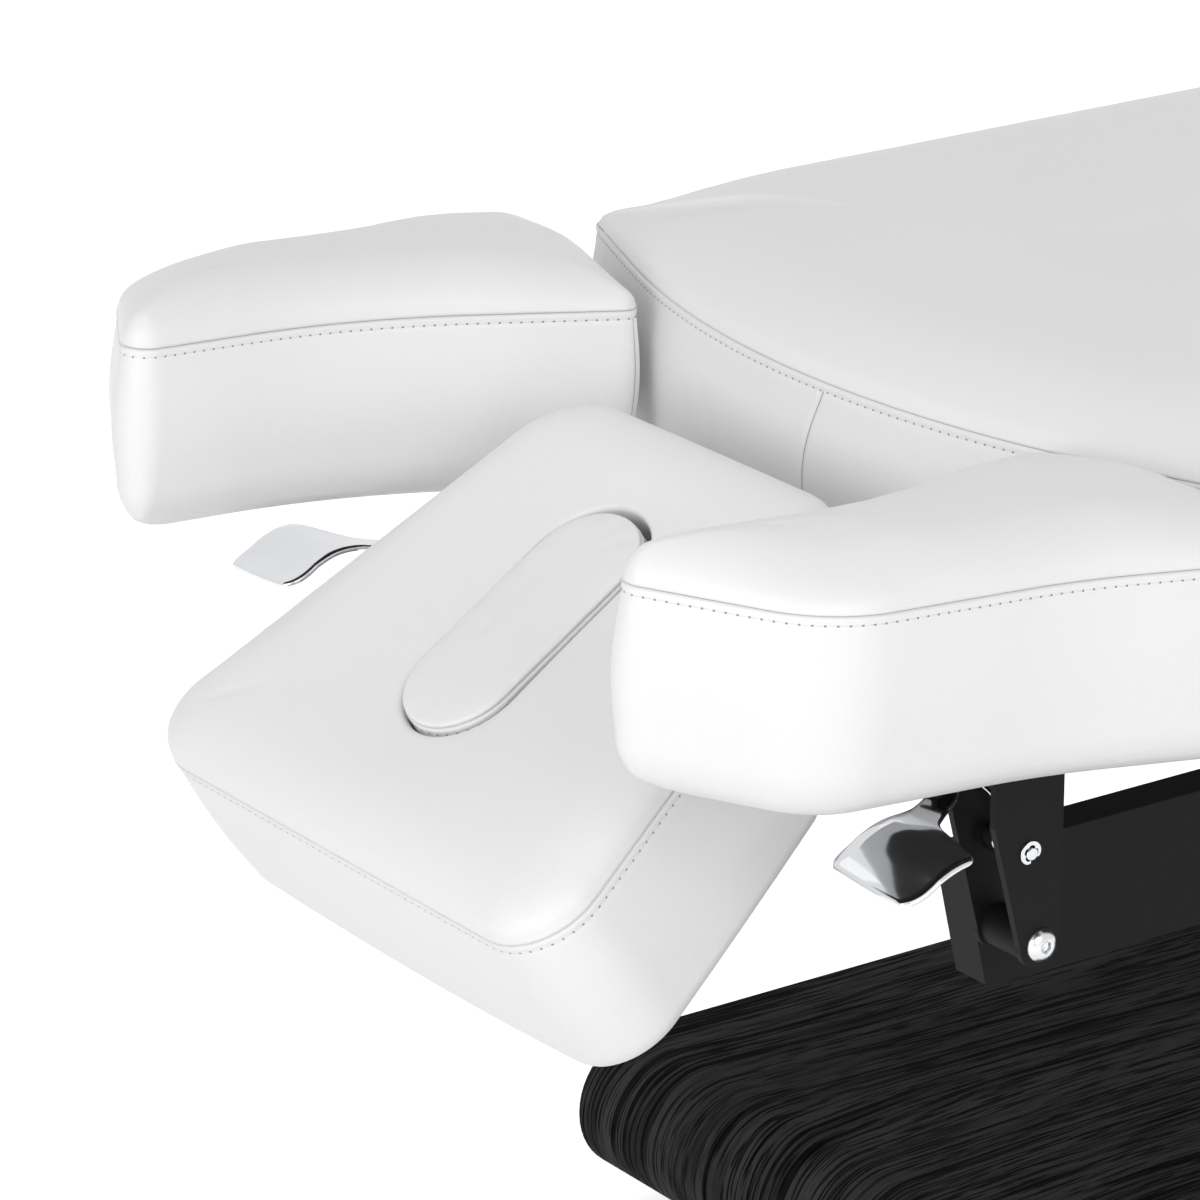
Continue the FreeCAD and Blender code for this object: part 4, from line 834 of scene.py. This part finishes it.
make_pad(back, "back", "back_pad", seed=3, upright_seams=BACK_SEAMS, **BED_FEEL)
for body, head_end, foot_end, seed in (("seat", SEAT_HEAD, SEAT_FOOT, 5), ("leg", LEG_HEAD, LEG_FOOT, 7)):
    corners = box_corners(HALF_WIDE, head_end, foot_end)
    flat_pad = Pad(corners, [CORNER] * 4, BED_PROFILE, LEVEL, lift=3.0, pitch=BED_PITCH)
    make_pad(flat_pad, body, body + "_pad", seed=seed, upright_seams=[(0.0, foot_end, 0.0)], **BED_FEEL)

# Headrest with its face slot, and the plug that fills it
HEAD_TILT = math.radians(33.9)
HEAD_LONG = 337.0
HEAD_HALF, HEAD_BACK_HALF = 216.0, 144.0
HEAD_BACK_Y, HEAD_BACK_Z = -676.0, 625.2
HEAD_EDGE_Y = HEAD_BACK_Y - HEAD_LONG * math.cos(HEAD_TILT)
HEAD_EDGE_Z = HEAD_BACK_Z - HEAD_LONG * math.sin(HEAD_TILT)
HEAD_EDGE = Vector((0, HEAD_EDGE_Y, HEAD_EDGE_Z)) * MM
HEAD_PLACE = Matrix.Translation(HEAD_EDGE) @ Matrix.Rotation(HEAD_TILT, 4, "X")
HEAD_CORNERS = [(-HEAD_HALF, 0.0), (HEAD_HALF, 0.0)]
HEAD_CORNERS += [(HEAD_BACK_HALF, HEAD_LONG), (-HEAD_BACK_HALF, HEAD_LONG)]
HEAD_RADII = [44.0, 44.0, 60.0, 60.0]
HEAD_LOW, HEAD_BACK_LOW, HEAD_CROWN, HEAD_DIP = -110.0, -70.0, 22.0, -3.0
THINNING_START = 200.0
SLOT_HALF, SLOT_START, SLOT_END, SLOT_EDGE = 43.0, 86.0, 272.0, 4.0
SLOT_EDGE_STEPS = 6
SLOT_WALL_HEIGHTS = (0.0, -20.0, -60.0, HEAD_LOW)
SLOT_UNDER_SPREADS = (6.0, 24.0)
HALVINGS = 40


def slot_outline(outline, half, start, end):
    """Points of the face slot on the rays from its middle through the outline's points."""
    middle = np.array((0.0, (start + end) / 2))
    reach = (end - start) / 2 - half
    points = []
    for x, y in outline.ring(0.0) - middle:
        away = np.array((x, y)) / math.hypot(x, y)
        low, high = 0.0, end - start
        for _ in range(HALVINGS):
            trial = (low + high) / 2
            px, py = away * trial
            past = max(abs(py) - reach, 0.0)
            if math.hypot(px, past) < half:
                low = trial
            else:
                high = trial
        points.append(middle + away * low)
    return np.array(points)


HEAD_PROFILE = sewn_profile(HEAD_LOW, 0.0, HEAD_CROWN, run=36.0, belly=2.0, edge=18.0)
head = Pad(HEAD_CORNERS, HEAD_RADII, HEAD_PROFILE, HEAD_PLACE, lift=HEAD_DIP, pitch=5.0)
head.thinning = (THINNING_START, HEAD_LONG, HEAD_BACK_LOW / HEAD_LOW)
head.sag = (HEAD_HALF, 0.17, 0.9)
slot_size = (SLOT_HALF + SLOT_EDGE, SLOT_START - SLOT_EDGE, SLOT_END + SLOT_EDGE)
head.slot_ring = slot_outline(head.outline, *slot_size)
slot_turns = [math.pi / 2 * k / SLOT_EDGE_STEPS for k in range(1, SLOT_EDGE_STEPS + 1)]
slot_top = HEAD_CROWN + HEAD_DIP
head.slot_walls = [(-SLOT_EDGE * math.sin(a), slot_top - SLOT_EDGE * (1 - math.cos(a))) for a in slot_turns]
head.slot_walls += [(-SLOT_EDGE, height) for height in SLOT_WALL_HEIGHTS]
head.slot_walls += [(spread, HEAD_LOW) for spread in SLOT_UNDER_SPREADS]
make_pad(head, "headrest", "headrest_pad", fill=0.8, seed=11, most=3.0, keep=0.35, gather=0.15)

PLUG_HALF, PLUG_START, PLUG_END, PLUG_CORNER = 41.6, 87.4, 266.0, 40.8
PLUG_LEAN = math.radians(-1.0)
PLUG_MIDDLE = Matrix.Translation((0, (PLUG_START + PLUG_END) / 2 * MM, 0))
PLUG_PLACE = HEAD_PLACE @ PLUG_MIDDLE @ Matrix.Rotation(PLUG_LEAN, 4, "X") @ PLUG_MIDDLE.inverted()
PLUG_PROFILE = sewn_profile(-94.0, 19.0, crown=6.0, run=26.0, belly=0.1, edge=5.0)
plug_corners = box_corners(PLUG_HALF, PLUG_START, PLUG_END)
plug = Pad(plug_corners, [PLUG_CORNER] * 4, PLUG_PROFILE, PLUG_PLACE, lift=1.5, pitch=3.2)
make_pad(plug, "plug", "face_plug", fill=0.85, seed=13, most=2.0, keep=0.5, gather=0.35)

# Armrests
ARM_PROFILE = sewn_profile(-123.5, 0.0, crown=32.0, run=45.0, belly=3.4, edge=40.0, fall=1.9)
ARM_SHAPE = [(243.5, -359.0), (367.0, -288.0), (370.0, -123.0)]
ARM_SHAPE += [(405.0, 42.0), (186.0, -14.0), (248.75, -186.5)]
ARM_RADII = [16.0, 70.0, 400.0, 30.0, 12.0, 400.0]
ARM_EASED = [(405.0, 42.0, 145.0, 0.5), (186.0, -14.0, 110.0, 0.35), (367.0, -288.0, 90.0, 0.36)]
ARM_RIDGE = [(301.0, -196.0), (297.0, -82.0)]
ARM_SEAM = (188.0, -14.0, 0.0)
ARM_PLACE = Matrix.Translation((0, -0.585, 0.6545)) @ Matrix.Rotation(math.radians(-3.2), 4, "X")
ARM_SEED = 17


def mirrored(rows, sign):
    """Rows of numbers that start with x, moved to one side of the bed."""
    return [(sign * x, *rest) for x, *rest in rows]


for side, sign in SIDES.items():
    arm_corners = mirrored(ARM_SHAPE, sign)[::sign]
    arm_ridge = mirrored(ARM_RIDGE, sign)
    arm = Pad(arm_corners, ARM_RADII[::sign], ARM_PROFILE, ARM_PLACE, lift=0.4, pitch=4.0, ridge=arm_ridge)
    arm.eased = mirrored(ARM_EASED, sign)
    make_pad(
        arm,
        "armrest_" + side,
        "armrest_pad_" + side,
        fill=0.9,
        seed=ARM_SEED + sign,
        most=6.0,
        keep=0.6,
        gather=0.4,
        upright_seams=mirrored([ARM_SEAM], sign),
    )

# Chromed release levers: the sheet's side view as (y, z), and its two edges as (y, inner x, outer x)
LEVER_LINE = [
    (-806.0, 485.5), (-798.0, 487.0), (-788.0, 490.5), (-779.0, 495.5), (-771.0, 499.5), (-762.0, 501.5),
    (-750.0, 502.0), (-722.0, 500.0), (-694.0, 496.0), (-668.0, 490.0), (-650.0, 483.0), (-638.0, 472.0),
    (-628.0, 457.0), (-620.0, 442.0),
]
LEVER_PLAN = [
    (-806.0, 283.0, 343.0), (-802.0, 278.5, 347.0), (-794.0, 276.5, 349.0), (-770.0, 276.5, 349.0),
    (-760.0, 276.0, 348.0), (-755.0, 275.5, 344.0), (-752.0, 275.0, 332.0), (-750.0, 274.5, 318.0),
    (-747.0, 273.0, 304.0), (-741.0, 270.0, 295.0), (-728.0, 261.0, 284.0), (-706.0, 243.0, 266.0),
    (-684.0, 218.0, 242.0), (-664.0, 200.0, 223.0), (-650.0, 195.0, 217.0), (-636.0, 194.0, 216.0),
    (-620.0, 194.0, 216.0),
]
LEVER_ROWS, LEVER_COLUMNS = 150, 13
LINE_ROUNDS, PLAN_ROUNDS = 8, 3
LEVER_THICK, LEVER_TIP_SHARE = 3.6, 0.55
LEVER_CUP, CUP_MIDDLE_Y, CUP_REACH = 3.2, -782.0, 36.0
LEVER_ROLL, ROLL_X, ROLL_START_Y, ROLL_RUN = -0.06, 312.0, -715.0, 35.0
EDGE_TURNS = [math.radians(degrees) for degrees in (45.0, 0.0, -45.0)]
LEVER_PIN = (-619.0, 434.0)
HUB_BORE, HUB_CHAMFER, HUB_RADIUS = 4.1, 8.4, 9.0
LEVER_HUB = [(191.0, HUB_BORE), (191.0, HUB_CHAMFER), (191.6, HUB_RADIUS), (217.4, HUB_RADIUS)]
LEVER_HUB += [(218.0, HUB_CHAMFER), (218.0, HUB_BORE), (191.0, HUB_BORE)]
HUB_SIDES = 40


def smooth_line(values, rounds):
    """Evens out a run of numbers and keeps its two ends."""
    values = np.array(values, float)
    for _ in range(rounds):
        values[1:-1] = (values[:-2] + 2 * values[1:-1] + values[2:]) / 4
    return values


def lever_rings():
    """Rings round the pressed sheet, from its free edge to its hub, in millimetres."""
    line = np.array(LEVER_LINE)
    way = np.concatenate(([0.0], np.cumsum(np.linalg.norm(np.diff(line, axis=0), axis=1))))
    at = np.linspace(0.0, way[-1], LEVER_ROWS)
    y = smooth_line(np.interp(at, way, line[:, 0]), LINE_ROUNDS)
    z = smooth_line(np.interp(at, way, line[:, 1]), LINE_ROUNDS)
    plan = np.array(LEVER_PLAN)
    inner = smooth_line(np.interp(y, plan[:, 0], plan[:, 1]), PLAN_ROUNDS)
    outer = smooth_line(np.interp(y, plan[:, 0], plan[:, 2]), PLAN_ROUNDS)
    slope = np.column_stack((np.gradient(y), np.gradient(z)))
    slope /= np.linalg.norm(slope, axis=1)[:, None]
    across = np.linspace(0.0, 1.0, LEVER_COLUMNS)
    made = []
    for k in range(LEVER_ROWS):
        half = LEVER_THICK / 2 * (LEVER_TIP_SHARE if k == 0 else 1.0)
        x = inner[k] + half + (outer[k] - inner[k] - 2 * half) * across
        cup = LEVER_CUP * max(0.0, 1 - abs(y[k] - CUP_MIDDLE_Y) / CUP_REACH)
        roll = LEVER_ROLL * min(max((ROLL_START_Y - y[k]) / ROLL_RUN, 0.0), 1.0)
        rise = cup * ((2 * across - 1) ** 2) + roll * (x - ROLL_X)
        section = [(px, r + half) for px, r in zip(x, rise)]
        section += [(x[-1] + half * math.cos(a), rise[-1] + half * math.sin(a)) for a in EDGE_TURNS]
        section += [(px, r - half) for px, r in zip(x[::-1], rise[::-1])]
        section += [(x[0] - half * math.cos(a), rise[0] + half * math.sin(a)) for a in EDGE_TURNS[::-1]]
        up_y, up_z = -slope[k, 1], slope[k, 0]
        made.append([(px, y[k] + up_y * lift, z[k] + up_z * lift) for px, lift in section])
    return np.array(made)


def turned(profile, segments, centre, sign):
    """Points and faces of a turned form about X: profile is (x, radius) from one end to the other."""
    points = []
    for x, radius in profile:
        for k in range(segments):
            angle = 2 * math.pi * k / segments
            reach = radius(angle) if callable(radius) else radius
            y = centre[0] + reach * math.cos(angle)
            z = centre[1] + reach * math.sin(angle)
            points.append((sign * x, y, z))
    return points, grid_faces(len(profile), segments)


def end_faces(rows, segments):
    """The faces that close both ends of a run of rings."""
    return [tuple(reversed(range(segments))), tuple(range((rows - 1) * segments, rows * segments))]


def flipped(faces, sign):
    return faces if sign > 0 else [tuple(reversed(f)) for f in faces]


def to_metres(points):
    return [tuple(c * MM for c in p) for p in points]


# Pivot bolts, lever pins and their clips: profiles as (x, radius)
PIVOT = (-609.5, 374.0)
SOCKET_FLAT = 3.5
FASTENER_SIDES = 60
SHARP_FROM = math.radians(35)


def hex_socket(angle):
    """Reach of a hexagon's side at an angle."""
    off = (angle + math.pi / 6) % (math.pi / 3) - math.pi / 6
    return SOCKET_FLAT / math.cos(off)


BOLT = [(150.0, 4.8), (151.2, 6.0), (226.9, 6.0), (227.0, 10.3), (227.3, 10.5), (228.2, 10.45), (229.4, 9.9)]
BOLT += [(230.7, 8.9), (231.8, 7.5), (232.5, 6.1), (232.85, 5.0), (232.9, 4.5), (232.5, hex_socket)]
BOLT += [(229.9, hex_socket), (229.3, 2.6), (229.1, 0.2)]
PIN = [(182.0, 3.2), (182.8, 4.0), (228.9, 4.0), (229.4, 3.6), (229.6, 2.9), (229.6, 0.2)]
CLIP_STEPS = 48
CLIP_TURN, CLIP_LEAN = math.radians(148.0), 0.5
CLIP_OUTER, CLIP_INNER = 7.5, 5.2
CLIP_TAPER, TAPER_POWER = 0.22, 6
PRONG_LONG, PRONG_RATE, PRONG_POWER = 1.3, 2.43, 8
CLIP_LAYERS = [(227.05, 0.0), (227.2, 0.18), (228.0, 0.18), (228.25, 0.0)]
CLIP_MIDDLE = 5.4


def clip_outline():
    """A retaining clip as (radius, angle): a wide crescent with three inner prongs and an open foot."""
    outer, inner = [], []
    for k in range(CLIP_STEPS + 1):
        angle = -CLIP_TURN + 2 * CLIP_TURN * k / CLIP_STEPS
        taper = 1 - CLIP_TAPER * (abs(angle) / CLIP_TURN) ** TAPER_POWER
        prong = PRONG_LONG * math.cos(PRONG_RATE * angle) ** PRONG_POWER
        outer.append((CLIP_OUTER * taper, angle))
        inner.append((CLIP_INNER - prong, angle))
    return outer + inner[::-1]


def clip_mesh(sign):
    """Points and faces of a clip with eased edges, in millimetres."""
    outline = clip_outline()
    count = len(outline)
    points = []
    for x, spread in CLIP_LAYERS:
        for radius, angle in outline:
            reach = radius + (spread if radius > CLIP_MIDDLE else -spread)
            y = LEVER_PIN[0] + reach * math.sin(angle - CLIP_LEAN)
            z = LEVER_PIN[1] + reach * math.cos(angle - CLIP_LEAN)
            points.append((sign * x, y, z))
    faces = grid_faces(len(CLIP_LAYERS), count)
    top = (len(CLIP_LAYERS) - 1) * count
    for k in range(count // 2 - 1):
        a, b, c, d = k, k + 1, count - 2 - k, count - 1 - k
        faces.append((d, c, b, a))
        faces.append((top + a, top + b, top + c, top + d))
    return points, faces


def zinc_piece(name, points, faces, body, node):
    piece = mesh_piece(name, to_metres(points), faces, ZINC, body, [node])
    piece.data.set_sharp_from_angle(angle=SHARP_FROM)


for side, sign in SIDES.items():
    armrest, lever = "armrest_" + side, "lever_" + side
    rings = lever_rings()
    rows, columns, _ = rings.shape
    rings[:, :, 0] *= sign
    points = [tuple(p) for p in rings.reshape(-1, 3)]
    faces = grid_faces(rows, columns) + end_faces(rows, columns)
    hub_points, hub_faces = turned(LEVER_HUB, HUB_SIDES, LEVER_PIN, sign)
    faces += [tuple(len(points) + i for i in face) for face in hub_faces]
    points += hub_points
    mesh_piece("release_" + lever, to_metres(points), flipped(faces, -sign), CHROME, lever, [lever])
    for name, profile, centre, body, node in (
        ("pivot_bolt_", BOLT, PIVOT, "back", "armrest_bolt_"),
        ("lever_pivot_", PIN, LEVER_PIN, armrest, "lever_pin_"),
    ):
        points, faces = turned(profile, FASTENER_SIDES, centre, sign)
        faces += end_faces(len(profile), FASTENER_SIDES)
        zinc_piece(name + side, points, flipped(faces, sign), body, node + side)
    points, faces = clip_mesh(sign)
    zinc_piece("retaining_clip_" + side, points, flipped(faces, sign), armrest, "lever_clip_" + side)

# Camera, light and floor
CAMERA_PLACE = Vector((2.8357, -2.7721, 1.8046))
CAMERA_AIM = Vector((0.1277, -0.8547, 0.610))
WORLD_LIGHT = 0.57
FLOOR_HALF = 30.0
FLOOR_GLOW = 0.66
scene = bpy.context.scene
lens = bpy.data.cameras.new("camera")
lens.lens = 188.0
lens.sensor_width = 36.0
camera = bpy.data.objects.new("camera", lens)
scene.collection.objects.link(camera)
camera.location = CAMERA_PLACE
camera.rotation_euler = (CAMERA_AIM - CAMERA_PLACE).to_track_quat("-Z", "Y").to_euler()
scene.camera = camera


def soft_box(name, place, aim, size, power):
    """A rectangular lamp at a place, turned towards a point."""
    data = bpy.data.lights.new(name, "AREA")
    data.shape = "RECTANGLE"
    data.size, data.size_y = size
    data.energy = power
    lamp = bpy.data.objects.new(name, data)
    lamp.location = place
    lamp.rotation_euler = (Vector(aim) - Vector(place)).to_track_quat("-Z", "Y").to_euler()
    scene.collection.objects.link(lamp)


soft_box("front_box", (1.2, -4.4, 1.5), (0.1, -0.6, 0.55), (2.6, 1.8), 50.0)
soft_box("side_box", (3.7, -1.4, 2.1), (0.0, -0.6, 0.55), (2.2, 1.8), 39.0)
soft_box("top_box", (-0.6, 0.4, 3.6), (0, -0.2, 0.5), (2.6, 3.0), 7.0)

world = bpy.data.worlds.new("studio")
world.use_nodes = True
scene.world = world
studio = Nodes(world.node_tree)
sky = studio.tree.nodes["Background"]
studio.feed(sky.inputs["Color"], (1, 1, 1, 1))
studio.feed(sky.inputs["Strength"], WORLD_LIGHT + (1 - WORLD_LIGHT) * studio.pale_rays())

floor_mesh = bpy.data.meshes.new("floor")
floor_corners = box_corners(FLOOR_HALF, -FLOOR_HALF, FLOOR_HALF)
floor_mesh.from_pydata([(x, y, 0) for x, y in floor_corners], [], [(0, 1, 2, 3)])
floor = bpy.data.objects.new("floor", floor_mesh)
scene.collection.objects.link(floor)
pale = Finish("pale_floor", Roughness=0.9)
pale.set("Base Color", (0.9, 0.9, 0.9, 1))
glow = pale.node("Emission", None, {"Color": (1, 1, 1, 1), "Strength": FLOOR_GLOW * pale.pale_rays()})
both = pale.node("AddShader", None, [Shade(pale, pale.shader.outputs[0]), glow])
pale.feed(pale.tree.nodes["Material Output"].inputs["Surface"], both)
floor_mesh.materials.append(pale.material)

scene.view_settings.view_transform = "Standard"
